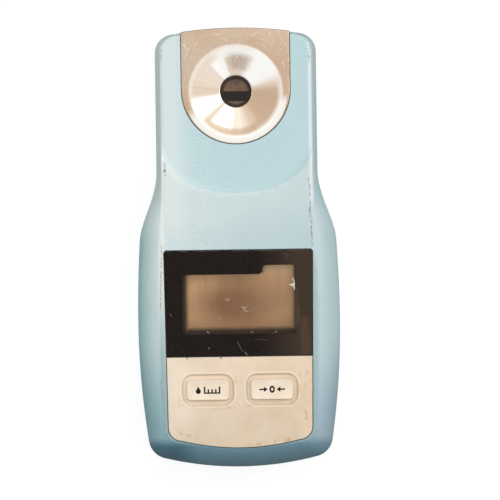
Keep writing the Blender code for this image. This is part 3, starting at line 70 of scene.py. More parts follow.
# Places read from the frame
CASE_LOW, CASE_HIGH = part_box("front_case")
PLATE_LOW, PLATE_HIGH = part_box("prism_plate")
PANEL_LOW, PANEL_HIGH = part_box("display_panel")
KEYPAD_LOW, KEYPAD_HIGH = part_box("keypad_overlay")
WINDOW_LOW, WINDOW_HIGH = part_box("display_window")
READ_LOW, READ_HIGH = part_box("read_key")
ZERO_LOW, ZERO_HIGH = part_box("zero_key")
DOOR_LOW, DOOR_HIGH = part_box("battery_door")

# Units, colour values and the least number that is divided by
MM = 1000
TONE_FULL = 255
TONE_OFFSET = 0.055
TONE_POWER = 2.4
TINY = 1e-18
MESH_SLACK = 1e-6

# Clearances and cuts
GAP = 0.0003
SEAM = 0.00012
LABEL_SEAM = 0.0002
CUT_OVERRUN = 0.002
STEP = 0.00001

# Body outline, seen from above
HEAD_END = CASE_HIGH.y
GRIP_END = CASE_LOW.y
HEAD_WIDTH = 0.0434
GRIP_WIDTH = 2 * CASE_HIGH.x
HEAD_LENGTH = 0.038
NECK_LENGTH = 0.019
WIDEST_FROM_END = 0.0396
BARREL_LENGTH = 0.0214
TAPER_LENGTH = 0.0322
GRIP_END_TAPER = 0.0024
GRIP_NECK_TAPER = 0.0007
HEAD_END_ARC = 0.108
GRIP_END_ARC = 0.085
HEAD_CORNER = 0.005
GRIP_CORNER = 0.0055
LEAST_CORNER = 0.001

# Front face between the flanks, called the spine, and the flat of the back
SPINE_HEAD_WIDTH = 0.0404
SPINE_GRIP_WIDTH = 0.0420
SPINE_END_TAPER = 0.0007
SPINE_NECK_TAPER = 0.0004
SPINE_HEAD_INSET = 0.0008
SPINE_GRIP_INSET = 0.0048
SPINE_CORNER = 0.0045
BACK_HEAD_INSET = 0.0016
BACK_GRIP_INSET = 0.0034
SPINE_EDGE_HEIGHT = 0.00035
BACK_EDGE_HEIGHT = 0.0008
EDGE_INSET = 0.0009
RIM_BAND = 0.0015
FLANK_END_ANGLE = math.radians(68)
WALL = 0.0024
ROOF_INSET = 0.0019
ROOF_THICKNESS = 0.0028
FLOOR = 0.0022

# Lowered face of the head, which ends in a round scoop
SCOOP_LENGTH = 0.0444
SCOOP_ROUND = 0.0155
SCOOP_WIDTH = 0.0416
SCOOP_SLOPE = 0.0016
SCOOP_POWER = 2.2
SCOOP_LEAST = -0.9 * SCOOP_ROUND
SCOOP_MOST = 2 * SCOOP_ROUND

# Seal groove and tongue in the rim
RIM_SEAL_INSET = 0.00095
RIM_SEAL_WIDTH = 0.0007
RIM_SEAL_HEIGHT = 0.0008
RIM_TONGUE = 0.0005

# Sample plate
PLATE_ROUND_FROM_END = 0.0166
PLATE_THICKNESS = 0.0015
PLATE_EDGE = 0.00035
DISH_FROM_END = 0.0171
DISH_RIM_RADIUS = 0.0128
DISH_ROUND = 0.0009
DISH_DEPTH = 0.0028
HOLE_RADIUS = 0.00415
LIP_ROUND = 0.0003
LIP_STEPS = (0.0001, 0.0002, 0.0004, 0.0008, 0.0016, 0.0032)
PLATE_BOSS_RADIUS = 0.0132
LEDGE_THICKNESS = 0.0015
LEDGE_BORDER = 0.002

# Label, window and keys
LABEL_TOP_WIDTH = 0.0398
LABEL_LOW_WIDTH = 0.0386
LABEL_CORNER = 0.0035
LABEL_TOP_CORNER = 0.0006
LABEL_SAG = 0.0020
WINDOW_FLANGE = 0.0010
WINDOW_TAB_LEFT = 0.0064
WINDOW_TAB_LENGTH = 0.0024
WINDOW_CORNER = 0.0006
WINDOW_FIT = 0.00001
FILM_EDGE = 0.00015
KEY_FLANGE = 0.0006
KEY_FLANGE_THICKNESS = 0.0008
KEY_CORNER = 0.0009
KEY_EDGE = 0.00022
KEY_FIT = 0.00004
KEY_DENT = 0.00006
KEY_LEAST_CORNER = 10 * STEP
MOAT_WIDTH = 0.0141
MOAT_LENGTH = 0.0086
MOAT_CORNER = 0.0030
MOAT_DEPTH = 0.00032
MOAT_WALL = 0.00055
MOAT_RIDGE = 0.00012
MOAT_RIDGE_OFF = 0.45 * MOAT_WALL

# Back
DOOR_CORNER = 0.0035
DOOR_EDGE = 0.0005
DOOR_SCREW_INSET = 0.0036
DOOR_HEAD_RADIUS = 0.0024
DOOR_SHANK_RADIUS = 0.0011
DOOR_COUNTERBORE = 0.0014
LAND_BORDER = 0.002
LAND_TOP = 0.005
BAY_FROM_END = 0.015
BAY_LENGTH = 0.050
BAY_HALF = 0.0117
BAY_TOP = 0.0137
BAY_WALL = 0.0014
BAY_ROOF = 0.0012
BAY_CORNER = 0.0008
CASE_SCREW_SEAT = 0.005
HEAD_SCREW_FROM_SIDE = 0.0056
HEAD_SCREW_FROM_END = 0.009
GRIP_SCREW_FROM_SIDE = 0.0086
GRIP_SCREW_FROM_END = 0.0115
CASE_HEAD_RADIUS = 0.0020
CASE_SHANK_RADIUS = 0.0011
PILLAR_RADIUS = 0.0031
INSERT_RADIUS = 0.0022
INSERT_BOSS_RADIUS = 0.0034
BORE_STEPS_OUT = (-STEP, 0.0002, 0.0004)

# Counts
ARC_STEPS = 14
CORNER_STEPS = 12
HEAD_SIDE_STEPS = 44
NECK_STEPS = 32
GRIP_SIDE_STEPS = 62
FLANK_STEPS = 16
EDGE_STEPS = 6
FACE_STEPS = 44
INNER_STEPS = 5
CORNER_PASSES = 6
CIRCLE_STEPS = 96
ROD_STEPS = 32
BORE_STEPS = 48
BOX_CORNER_STEPS = 8
WINDOW_CORNER_STEPS = 6
DISH_RIM_STEPS = 8
SCOOP_PASSES = 30

# Shares of a rounded edge at which its mesh gets a line
EDGE_SHARES = (0.15, 0.35, 0.6, 1.0)
MOAT_SHARES = (-1.4, -0.9, -0.45, 0, 0.25, 0.5, 0.75, 1.0, 1.3)
KEY_SHARES = (0.12, 0.3, 0.6, 1.0, 1.8)

# Places that follow from the sizes above
NECK_HIGH = HEAD_END - HEAD_LENGTH
NECK_LOW = NECK_HIGH - NECK_LENGTH
WIDEST_Y = GRIP_END + WIDEST_FROM_END
PAD_TOP = CASE_HIGH.z
HEAD_FACE = PLATE_HIGH.z
SCOOP_DEPTH = PAD_TOP - HEAD_FACE
PARTING = PAD_TOP / 2
FRONT_RIM = PARTING + GAP / 2
REAR_RIM = PARTING - GAP / 2
CEILING = PAD_TOP - ROOF_THICKNESS
SCOOP_CENTRE = HEAD_END - SCOOP_LENGTH + SCOOP_ROUND
PLATE_ROUND_Y = HEAD_END - PLATE_ROUND_FROM_END
DISH_Y = HEAD_END - DISH_FROM_END
FLANGE_LOW = HEAD_FACE - PLATE_THICKNESS
LEDGE_TOP = FLANGE_LOW - GAP
LEDGE_LOW = LEDGE_TOP - LEDGE_THICKNESS
LABEL_TOP = PANEL_HIGH.z
LABEL_UNDER = PANEL_LOW.z
LABEL_HIGH_Y = PANEL_HIGH.y
LABEL_LOW_Y = KEYPAD_LOW.y
SPLIT_Y = (PANEL_LOW.y + KEYPAD_HIGH.y) / 2
BAY_LOW_Y = GRIP_END + BAY_FROM_END
BAY_Y = BAY_LOW_Y + BAY_LENGTH / 2
DOOR_Y = (DOOR_LOW.y + DOOR_HIGH.y) / 2
DOOR_SCREW_YS = (DOOR_HIGH.y - DOOR_SCREW_INSET, DOOR_LOW.y + DOOR_SCREW_INSET)

Plan = namedtuple("Plan", "head grip neck_taper end_taper head_end grip_end head_corner grip_corner")

BODY = Plan(HEAD_WIDTH / 2, GRIP_WIDTH / 2, GRIP_NECK_TAPER, GRIP_END_TAPER, HEAD_END, GRIP_END,
            HEAD_CORNER, GRIP_CORNER)
SPINE = Plan(SPINE_HEAD_WIDTH / 2, SPINE_GRIP_WIDTH / 2, SPINE_NECK_TAPER, SPINE_END_TAPER,
             HEAD_END - SPINE_HEAD_INSET, GRIP_END + SPINE_GRIP_INSET, SPINE_CORNER, SPINE_CORNER)
BACK = Plan(HEAD_WIDTH / 2 - BACK_HEAD_INSET, GRIP_WIDTH / 2 - BACK_GRIP_INSET, GRIP_NECK_TAPER,
            GRIP_END_TAPER, HEAD_END - BACK_HEAD_INSET, GRIP_END + BACK_GRIP_INSET, HEAD_CORNER, GRIP_CORNER)


def smooth(share):
    """Ease from 0 to 1."""
    share = np.clip(share, 0, 1)
    return share * share * (3 - 2 * share)


def spread(low, high, steps):
    """Evenly spaced values from low up to, but not including, high."""
    return [low + (high - low) * step / steps for step in range(steps)]


def inset(plan, distance):
    """The same outline, drawn in on all sides."""
    return plan._replace(head=plan.head - distance, grip=plan.grip - distance,
                         head_end=plan.head_end - distance, grip_end=plan.grip_end + distance,
                         head_corner=max(plan.head_corner - distance, LEAST_CORNER),
                         grip_corner=max(plan.grip_corner - distance, LEAST_CORNER))


def side_half_width(plan, y):
    """Half width of the outline: straight head, smooth neck, gently barrelled grip."""
    if y > WIDEST_Y:
        barrel = plan.grip - plan.neck_taper * ((y - WIDEST_Y) / BARREL_LENGTH) ** 2
    else:
        barrel = plan.grip - plan.end_taper * ((WIDEST_Y - y) / TAPER_LENGTH) ** 2
    return plan.head + (barrel - plan.head) * float(smooth((NECK_HIGH - y) / (NECK_HIGH - NECK_LOW)))


def arc(radius, x, y, start, end, steps):
    """Points along an arc, without its last one."""
    return [(x + radius * math.cos(angle), y + radius * math.sin(angle))
            for angle in spread(start, end, steps)]


def circle(radius, x=0.0, y=0.0, steps=CIRCLE_STEPS):
    """A closed circle."""
    return arc(radius, x, y, 0, 2 * math.pi, steps)


def head_quarter(plan):
    """From the head's crest round its corner, and the height at which the straight side begins."""
    radius = plan.head_corner
    reach = plan.head - radius
    crown_y = plan.head_end - HEAD_END_ARC
    meeting = math.acos(reach / (HEAD_END_ARC - radius))
    corner_y = crown_y + math.sqrt((HEAD_END_ARC - radius) ** 2 - reach ** 2)
    crest = arc(HEAD_END_ARC, 0, crown_y, math.pi / 2, meeting, ARC_STEPS)
    return crest + arc(radius, reach, corner_y, meeting, 0, CORNER_STEPS), corner_y


def grip_quarter(plan):
    """Where the side ends, and from there round the grip's corner to the lowest point."""
    radius = plan.grip_corner
    corner_y = plan.grip_end + radius
    for _ in range(CORNER_PASSES):
        tilt = math.atan(2 * plan.end_taper * (WIDEST_Y - corner_y) / TAPER_LENGTH ** 2)
        side_y = corner_y - radius * math.sin(tilt)
        reach = side_half_width(plan, side_y) - radius * math.cos(tilt)
        corner_y = plan.grip_end + GRIP_END_ARC - math.sqrt((GRIP_END_ARC - radius) ** 2 - reach ** 2)
    meeting = math.acos(reach / (GRIP_END_ARC - radius))
    corner = arc(radius, reach, corner_y, -tilt, -meeting, CORNER_STEPS)
    sole = arc(GRIP_END_ARC, 0, plan.grip_end + GRIP_END_ARC, -meeting, -math.pi / 2, ARC_STEPS)
    return side_y, corner + sole + [(0, plan.grip_end)]


def outline(plan, drawn_in=0.0):
    """The whole closed outline, from the head's crest down its right side and up its left."""
    plan = inset(plan, drawn_in)
    right, high_y = head_quarter(plan)
    low_y, tail = grip_quarter(plan)
    stations = spread(high_y, NECK_HIGH, HEAD_SIDE_STEPS) + spread(NECK_HIGH, NECK_LOW, NECK_STEPS)
    stations += spread(NECK_LOW, low_y, GRIP_SIDE_STEPS)
    right += [(side_half_width(plan, y), y) for y in stations] + tail
    return np.array(right + [(-x, y) for x, y in reversed(right[1:-1])])


def scoop_growth(x, y):
    """How far the scoop's outline has to grow to pass through each place."""
    low = np.full(x.shape, SCOOP_LEAST)
    high = np.full(x.shape, SCOOP_MOST)
    down = np.maximum(SCOOP_CENTRE - y, 0)
    for _ in range(SCOOP_PASSES):
        middle = (low + high) / 2
        beyond = ((np.abs(x) / (SCOOP_WIDTH / 2 + middle)) ** SCOOP_POWER
                  + (down / (SCOOP_ROUND + middle)) ** SCOOP_POWER) > 1
        low = np.where(beyond, middle, low)
        high = np.where(beyond, high, middle)
    return low


def face_height(points):
    """Height of the front face: the pad, and the lowered head with its soft slope."""
    growth = scoop_growth(points[:, 0], points[:, 1])
    return PAD_TOP - SCOOP_DEPTH * (1 - smooth(growth / SCOOP_SLOPE + 0.5))


def lift(points, heights):
    """Plan points and their heights as one ring."""
    return np.column_stack([points, np.broadcast_to(heights, len(points))])


def flank_rings(outer, inner, low, heights, steps):
    """Rings of a flank that leaves the outer outline upright and curves in to the inner one."""
    rings = []
    for step in range(1, steps + 1):
        angle = FLANK_END_ANGLE * step / steps
        out_share = (math.cos(angle) - math.cos(FLANK_END_ANGLE)) / (1 - math.cos(FLANK_END_ANGLE))
        up_share = math.sin(angle) / math.sin(FLANK_END_ANGLE)
        rings.append(lift(inner + (outer - inner) * out_share, low + (heights - low) * up_share))
    return rings


def edge_steps(height):
    """Inset and drop of each ring of a rounded edge, from its foot to the flat."""
    for step in range(1, EDGE_STEPS + 1):
        share = step / EDGE_STEPS
        yield EDGE_INSET * share, height * (1 - share) ** 2


def face_rings(edge, height, steps):
    """Rings that shrink from a face's edge to its long middle line."""
    reach = np.abs(edge[:, 0]).max()
    middle = np.column_stack([np.zeros(len(edge)),
                              np.clip(edge[:, 1], edge[:, 1].min() + reach, edge[:, 1].max() - reach)])
    rings = []
    for step in range(1, steps):
        points = edge + (middle - edge) * step / steps
        rings.append(lift(points, height(points)))
    return rings


def ring_solid(rings):
    """A closed mesh through the rings, its two ends closed from side to side."""
    count = len(rings[0])
    base = np.arange(count)
    ahead = np.roll(base, -1)
    faces = []
    for row in range(len(rings) - 1):
        low, high = row * count, (row + 1) * count
        faces += np.column_stack([base + low, ahead + low, ahead + high, base + high]).tolist()
    for start in (0, (len(rings) - 1) * count):
        for i in range(count // 2):
            loop = [i, i + 1, (count - i - 1) % count, (count - i) % count]
            loop = [start + v for k, v in enumerate(loop) if v not in loop[:k]]
            faces.append(loop)
    mesh = bpy.data.meshes.new("shell")
    mesh.from_pydata(np.vstack(rings).tolist(), [], faces)
    return outward(mesh)


def outward(mesh):
    """The mesh with its faces pointing out."""
    bm = bmesh.new()
    bm.from_mesh(mesh)
    bmesh.ops.recalc_face_normals(bm, faces=bm.faces)
    bm.to_mesh(mesh)
    bm.free()
    return mesh


def prism_mesh(points, low, high):
    """A flat outline made thick."""
    count = len(points)
    verts = [(x, y, low) for x, y in points] + [(x, y, high) for x, y in points]
    faces = [list(range(count)), list(range(count, 2 * count))]
    faces += [[i, (i + 1) % count, count + (i + 1) % count, count + i] for i in range(count)]
    mesh = bpy.data.meshes.new("prism")
    mesh.from_pydata(verts, [], faces)
    return outward(mesh)


def rod_mesh(radius, low, high, x, y, steps=ROD_STEPS):
    """A round bar along Z."""
    return prism_mesh(circle(radius, x, y, steps), low, high)


def piece(name, mesh, body, node=None, angle=28):
    """A named piece that rides on a body and may stand for a CAD node."""
    mesh.name = name
    mesh.shade_smooth()
    mesh.set_sharp_from_angle(angle=math.radians(angle))
    obj = bpy.data.objects.new(name, mesh)
    bpy.context.scene.collection.objects.link(obj)
    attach(obj, body)
    if node:
        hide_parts(node)
    return obj


def boolean_mesh(mesh, helpers, operation):
    """The mesh after joining or cutting it with all the helpers at once."""
    group = bpy.data.collections.new("helpers")
    bpy.context.scene.collection.children.link(group)
    for helper in helpers:
        group.objects.link(bpy.data.objects.new("helper", helper))
    obj = bpy.data.objects.new("base", mesh)
    bpy.context.scene.collection.objects.link(obj)
    modifier = obj.modifiers.new("join", "BOOLEAN")
    modifier.operation = operation
    modifier.solver = "EXACT"
    modifier.operand_type = "COLLECTION"
    modifier.collection = group
    made = bpy.data.meshes.new_from_object(obj.evaluated_get(bpy.context.evaluated_depsgraph_get()))
    for helper in list(group.objects) + [obj]:
        bpy.data.objects.remove(helper, do_unlink=True)
    bpy.data.collections.remove(group)
    return made


def edge_distance(points, loop):
    """Distance from each point to the nearest stretch of a closed loop."""
    a = np.array(loop)
    b = np.roll(a, -1, axis=0)
    best = np.full(len(points), np.inf)
    for start, end in zip(a, b):
        run = end - start
        share = np.clip(((points - start) @ run) / max(run @ run, TINY), 0, 1)
        best = np.minimum(best, np.linalg.norm(points - start - share[:, None] * run, axis=1))
    return best


def inside(points, loop):
    """Which points lie inside a closed loop."""
    a = np.array(loop)
    b = np.roll(a, -1, axis=0)
    found = np.zeros(len(points), bool)
    for (ax, ay), (bx, by) in zip(a, b):
        if ay == by:
            continue
        crosses = (ay > points[:, 1]) != (by > points[:, 1])
        found ^= crosses & (points[:, 0] < (bx - ax) * (points[:, 1] - ay) / (by - ay) + ax)
    return found


def relief_mesh(outer, top, bottom, holes=(), guides=()):
    """A closed solid between two height functions over an outline, its mesh following the guides."""
    points, edges = [], []
    for loop in (outer, *holes, *guides):
        start = len(points)
        points += [Vector((x * MM, y * MM)) for x, y in loop]
        edges += [(start + i, start + (i + 1) % len(loop)) for i in range(len(loop))]
    verts, _, faces = delaunay_2d_cdt(points, edges, [], 0, MESH_SLACK)[:3]
    flat = np.array([tuple(v) for v in verts]) / MM
    faces = np.array([tuple(face) for face in faces])
    centres = flat[faces].mean(axis=1)
    keep = inside(centres, outer)
    for hole in holes:
        keep &= ~inside(centres, hole)
    faces = faces[keep]
    used = np.unique(faces)
    renumber = np.full(len(flat), -1)
    renumber[used] = np.arange(len(used))
    flat, faces = flat[used], renumber[faces]
    count = len(flat)
    sides = set()
    for face in faces:
        for i in range(3):
            a, b = int(face[i]), int(face[(i + 1) % 3])
            if (b, a) in sides:
                sides.remove((b, a))
            else:
                sides.add((a, b))
    solid = np.vstack([lift(flat, top(flat)), lift(flat, bottom(flat))])
    all_faces = faces.tolist() + (faces[:, ::-1] + count).tolist()
    all_faces += [[b, a, a + count, b + count] for a, b in sorted(sides)]
    mesh = bpy.data.meshes.new("relief")
    mesh.from_pydata(solid.tolist(), [], all_faces)
    return outward(mesh)


def fillet(distance, radius):
    """How far a rounded edge has dropped at a distance from the side."""
    short = np.clip(radius - distance, 0, radius)
    return radius - np.sqrt(radius ** 2 - short ** 2)


def rounded_rectangle(half_x, half_y, radius, x=0.0, y=0.0):
    """Closed rectangle with rounded corners about a centre."""
    points = []
    corners = ((1, 1, 0), (-1, 1, math.pi / 2), (-1, -1, math.pi), (1, -1, -math.pi / 2))
    for side_x, side_y, start in corners:
        centre = (x + side_x * (half_x - radius), y + side_y * (half_y - radius))
        end = start + math.pi / 2
        points += arc(radius, *centre, start, end, BOX_CORNER_STEPS)
        points.append((centre[0] + radius * math.cos(end), centre[1] + radius * math.sin(end)))
    return points


def plate_outline(grow, end=HEAD_END):
    """The sample plate: straight sides, a half round below, and the head's own arc above."""
    half = PLATE_HIGH.x + grow
    points = arc(half, 0, PLATE_ROUND_Y, math.pi, 2 * math.pi, CIRCLE_STEPS) + [(half, PLATE_ROUND_Y)]
    lean = math.asin(half / HEAD_END_ARC)
    crown_y = end + grow - HEAD_END_ARC
    points += arc(HEAD_END_ARC, 0, crown_y, math.pi / 2 - lean, math.pi / 2 + lean, 2 * ARC_STEPS)
    return points + [(-half, crown_y + HEAD_END_ARC * math.cos(lean))]


def label_half_width(y):
    """Half width of the label, which narrows towards the grip's end."""
    share = (LABEL_HIGH_Y - y) / (LABEL_HIGH_Y - LABEL_LOW_Y)
    return (LABEL_TOP_WIDTH + (LABEL_LOW_WIDTH - LABEL_TOP_WIDTH) * share) / 2


def panel_outline(high, low, grow=0.0):
    """The upper, straight part of the label."""
    top = label_half_width(high) + grow
    bottom = label_half_width(low) + grow
    corner = LABEL_TOP_CORNER
    return [(top - corner, high + grow), (top, high + grow - corner), (bottom, low - grow),
            (-bottom, low - grow), (-top, high + grow - corner), (-top + corner, high + grow)]


def keypad_outline(high, grow=0.0):
    """The lower part of the label, its lowest edge sagging between round corners."""
    top = label_half_width(high) + grow
    corner = LABEL_CORNER + grow
    reach = label_half_width(LABEL_LOW_Y) + grow - corner
    low_y = LABEL_LOW_Y - grow
    right = [(top, high + grow)]
    right += arc(corner, reach, low_y + LABEL_SAG + corner, 0, -math.pi / 2, CORNER_STEPS)
    right += [(x, low_y + LABEL_SAG * (x / reach) ** 2) for x in spread(reach, 0, ARC_STEPS)]
    return right + [(0, low_y)] + [(-x, y) for x, y in reversed(right)]


def window_outline(grow, corner=WINDOW_CORNER):
    """The clear area: a rectangle with a shallow tab at its upper right, joined by a soft S."""
    left, right = WINDOW_LOW.x + WINDOW_FLANGE - grow, WINDOW_HIGH.x - WINDOW_FLANGE + grow
    low = WINDOW_LOW.y + WINDOW_FLANGE - grow
    tab_high = WINDOW_HIGH.y - WINDOW_FLANGE + grow
    high = tab_high - WINDOW_TAB_LENGTH
    tab_left = WINDOW_TAB_LEFT - grow
    turn = WINDOW_TAB_LENGTH / 2
    quarter = math.pi / 2

    def bend(radius, x, y, start):
        """A quarter turn about a place, without its last point."""
        return arc(radius, x, y, start, start + quarter, WINDOW_CORNER_STEPS)

    points = bend(corner, right - corner, low + corner, -quarter) + [(right, low + corner)]
    points += bend(corner, right - corner, tab_high - corner, 0) + [(right - corner, tab_high)]
    points += bend(turn, tab_left + turn, tab_high - turn, quarter)
    points += reversed(bend(turn, tab_left - turn, high + turn, -quarter))
    points += bend(corner, left + corner, high - corner, quarter) + [(left, high - corner)]
    return points + bend(corner, left + corner, low + corner, math.pi) + [(left + corner, low)]


def box_distance(points, half_x, half_y, corner, x, y):
    """Signed distance to a rounded rectangle, negative inside."""
    dx = np.abs(points[:, 0] - x) - half_x + corner
    dy = np.abs(points[:, 1] - y) - half_y + corner
    outside = np.hypot(np.maximum(dx, 0), np.maximum(dy, 0))
    return outside + np.minimum(np.maximum(dx, dy), 0) - corner


def rim_rings(depth_from, depth_to, outer, inner):
    """A tongue or a groove in a rim, from its outer line to its inner one."""
    return [lift(outer, depth_from), lift(outer, depth_to), lift(inner, depth_to), lift(inner, depth_from)]


def seal_lines(grow):
    """Outer and inner line of the seal in the rim."""
    return outline(BODY, RIM_SEAL_INSET - grow), outline(BODY, RIM_SEAL_INSET + RIM_SEAL_WIDTH + grow)


def make_front_shell():
    """Front shell with its raised pad, lowered head, and seats for plate, label and keys."""
    body, spine = outline(BODY), outline(SPINE)
    room, roof = outline(BODY, WALL), outline(SPINE, ROOF_INSET)
    band = FRONT_RIM + RIM_BAND
    inner = [lift(room, FRONT_RIM), lift(room, band)]
    inner += flank_rings(room, roof, band, np.full(len(room), CEILING), INNER_STEPS)
    inner += face_rings(roof, lambda points: np.full(len(points), CEILING), INNER_STEPS)
    outer = [lift(body, FRONT_RIM), lift(body, band)]
    outer += flank_rings(body, spine, band, face_height(spine) - SPINE_EDGE_HEIGHT, FLANK_STEPS)
    for drawn_in, dropped in edge_steps(SPINE_EDGE_HEIGHT):
        points = outline(SPINE, drawn_in)
        outer.append(lift(points, face_height(points) - dropped))
    outer += face_rings(outline(SPINE, EDGE_INSET), face_height, FACE_STEPS)
    tongue = rim_rings(FRONT_RIM, REAR_RIM - RIM_TONGUE, *seal_lines(0))
    mesh = ring_solid(list(reversed(inner)) + list(reversed(tongue)) + outer)
    ledge = prism_mesh(plate_outline(LEDGE_BORDER, HEAD_END - WALL), LEDGE_LOW, CEILING + GAP)
    mesh = boolean_mesh(mesh, [ledge], "UNION")
    above = PAD_TOP + CUT_OVERRUN
    below = CEILING - CUT_OVERRUN
    cutters = [prism_mesh(plate_outline(SEAM, HEAD_END + CUT_OVERRUN), LEDGE_TOP, above),
               rod_mesh(PLATE_BOSS_RADIUS + GAP, LEDGE_LOW - CUT_OVERRUN, above, 0, DISH_Y, CIRCLE_STEPS),
               prism_mesh(label_recess(), LABEL_UNDER - GAP, above),
               prism_mesh(window_outline(WINDOW_FLANGE + GAP), WINDOW_LOW.z - GAP, above),
               prism_mesh(window_outline(GAP), below, above)]
    for low, high in ((READ_LOW, READ_HIGH), (ZERO_LOW, ZERO_HIGH)):
        hole = rounded_rectangle((high.x - low.x) / 2 + GAP, (high.y - low.y) / 2 + GAP, KEY_CORNER,
                                 (low.x + high.x) / 2, (low.y + high.y) / 2)
        cutters.append(prism_mesh(hole, below, above))
    mesh = boolean_mesh(mesh, cutters, "DIFFERENCE")
    return piece("front_shell", mesh, "case", "front_case")


def label_recess():
    """Outline of the recess that the whole label lies in."""
    keypad = keypad_outline(SPLIT_Y, LABEL_SEAM)
    panel = panel_outline(LABEL_HIGH_Y, SPLIT_Y, LABEL_SEAM)
    lower = [point for point in keypad if point[1] < SPLIT_Y]
    return panel[:2] + lower + panel[4:]


def case_screw_places():
    """x and y of the four case screws."""
    head = (HEAD_WIDTH / 2 - HEAD_SCREW_FROM_SIDE, HEAD_END - HEAD_SCREW_FROM_END)
    grip = (GRIP_WIDTH / 2 - GRIP_SCREW_FROM_SIDE, GRIP_END + GRIP_SCREW_FROM_END)
    return [(side * x, y) for x, y in (head, grip) for side in (-1, 1)]


def make_rear_shell():
    """Rear shell with the battery bay, the pillars, and the seats of door and screws."""
    body, back = outline(BODY), outline(BACK)
    room, ground = outline(BODY, WALL), outline(BACK, ROOF_INSET)
    band = REAR_RIM - RIM_BAND
    inner = [lift(room, REAR_RIM), lift(room, band)]
    inner += flank_rings(room, ground, band, np.full(len(room), FLOOR), INNER_STEPS)
    inner += face_rings(ground, lambda points: np.full(len(points), FLOOR), INNER_STEPS)
    outer = [lift(body, REAR_RIM), lift(body, band)]
    outer += flank_rings(body, back, band, np.full(len(body), BACK_EDGE_HEIGHT), FLANK_STEPS)
    outer += [lift(outline(BACK, drawn_in), dropped) for drawn_in, dropped in edge_steps(BACK_EDGE_HEIGHT)]
    outer += face_rings(outline(BACK, EDGE_INSET), lambda points: np.zeros(len(points)), INNER_STEPS)
    groove_low = REAR_RIM - RIM_TONGUE - GAP - RIM_SEAL_HEIGHT - GAP
    groove = rim_rings(REAR_RIM, groove_low, *seal_lines(GAP))
    mesh = ring_solid(list(reversed(inner)) + list(reversed(groove)) + outer)
    root = FLOOR / 2
    half_x, half_y = DOOR_HIGH.x, (DOOR_HIGH.y - DOOR_LOW.y) / 2
    border = LAND_BORDER + GAP
    land = rounded_rectangle(half_x + border, half_y + border, DOOR_CORNER, 0, DOOR_Y)
    bay = rounded_rectangle(BAY_HALF + BAY_WALL, BAY_LENGTH / 2 + BAY_WALL, BAY_CORNER, 0, BAY_Y)
    added = [prism_mesh(land, root, LAND_TOP), prism_mesh(bay, root, BAY_TOP + BAY_ROOF)]
    insert_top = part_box("door_insert_high")[1].z + GAP
    added += [rod_mesh(INSERT_BOSS_RADIUS, root, insert_top + BAY_ROOF, 0, y) for y in DOOR_SCREW_YS]
    added += [rod_mesh(PILLAR_RADIUS, root, REAR_RIM - GAP, x, y) for x, y in case_screw_places()]
    mesh = boolean_mesh(mesh, added, "UNION")
    ledge = DOOR_HIGH.z + GAP
    cutters = [prism_mesh(rounded_rectangle(half_x + SEAM, half_y + SEAM, DOOR_CORNER + SEAM, 0, DOOR_Y),
                          -CUT_OVERRUN, ledge),
               prism_mesh(rounded_rectangle(BAY_HALF, BAY_LENGTH / 2, BAY_CORNER, 0, BAY_Y), root, BAY_TOP)]
    cutters += [rod_mesh(INSERT_RADIUS + GAP, root, insert_top, 0, y) for y in DOOR_SCREW_YS]
    for x, y in case_screw_places():
        cutters.append(rod_mesh(CASE_HEAD_RADIUS + GAP, -CUT_OVERRUN, CASE_SCREW_SEAT, x, y))
        cutters.append(rod_mesh(CASE_SHANK_RADIUS + GAP, 0, REAR_RIM + CUT_OVERRUN, x, y))
    mesh = boolean_mesh(mesh, cutters, "DIFFERENCE")
    return piece("rear_shell", mesh, "case", "rear_case")


def dish_height(points):
    """Top of the sample plate: flange, soft rim, cone and the lip of the prism hole."""
    run = np.clip(DISH_RIM_RADIUS - np.hypot(points[:, 0], points[:, 1] - DISH_Y), 0, DISH_RIM_RADIUS)
    slope = DISH_DEPTH / (DISH_RIM_RADIUS - DISH_ROUND / 2 - HOLE_RADIUS)
    drop = np.where(run < DISH_ROUND, run ** 2 / (2 * DISH_ROUND), run - DISH_ROUND / 2)
    return HEAD_FACE - slope * drop


def make_plate():
    """Stainless sample plate with its turned dish, soft rim and round lip."""
    outer = plate_outline(0)
    hole = circle(HOLE_RADIUS, 0, DISH_Y)
    radii = [HOLE_RADIUS + step for step in LIP_STEPS]
    radii += list(np.linspace(DISH_RIM_RADIUS - DISH_ROUND, DISH_RIM_RADIUS, DISH_RIM_STEPS))
    guides = [circle(r, 0, DISH_Y) for r in radii]
    guides += [plate_outline(-PLATE_EDGE * share) for share in EDGE_SHARES]
    wall = [circle(PLATE_BOSS_RADIUS + step, 0, DISH_Y) for step in (-STEP, STEP)]

    def top(points):
        """Dish and flange with soft edges."""
        lip = fillet(np.hypot(points[:, 0], points[:, 1] - DISH_Y) - HOLE_RADIUS, LIP_ROUND)
        return dish_height(points) - fillet(edge_distance(points, outer), PLATE_EDGE) - lip

    def bottom(points):
        """Underside with its boss."""
        boss = np.hypot(points[:, 0], points[:, 1] - DISH_Y) < PLATE_BOSS_RADIUS
        return np.where(boss, PLATE_LOW.z, FLANGE_LOW)

    mesh = relief_mesh(outer, top, bottom, [hole], guides + wall)
    return piece("sample_plate", mesh, "case", "prism_plate", 40)


def make_panel():
    """Black upper part of the label, with the opening for the window."""
    outer = panel_outline(LABEL_HIGH_Y, PANEL_LOW.y)
    hole = window_outline(WINDOW_FIT)

    def top(points):
        """Face with a soft edge."""
        return LABEL_TOP - fillet(edge_distance(points, outer), FILM_EDGE)

    mesh = relief_mesh(outer, top, lambda points: LABEL_UNDER, [hole], [panel_inset(FILM_EDGE)])
    return piece("display_film", mesh, "case", "display_panel")


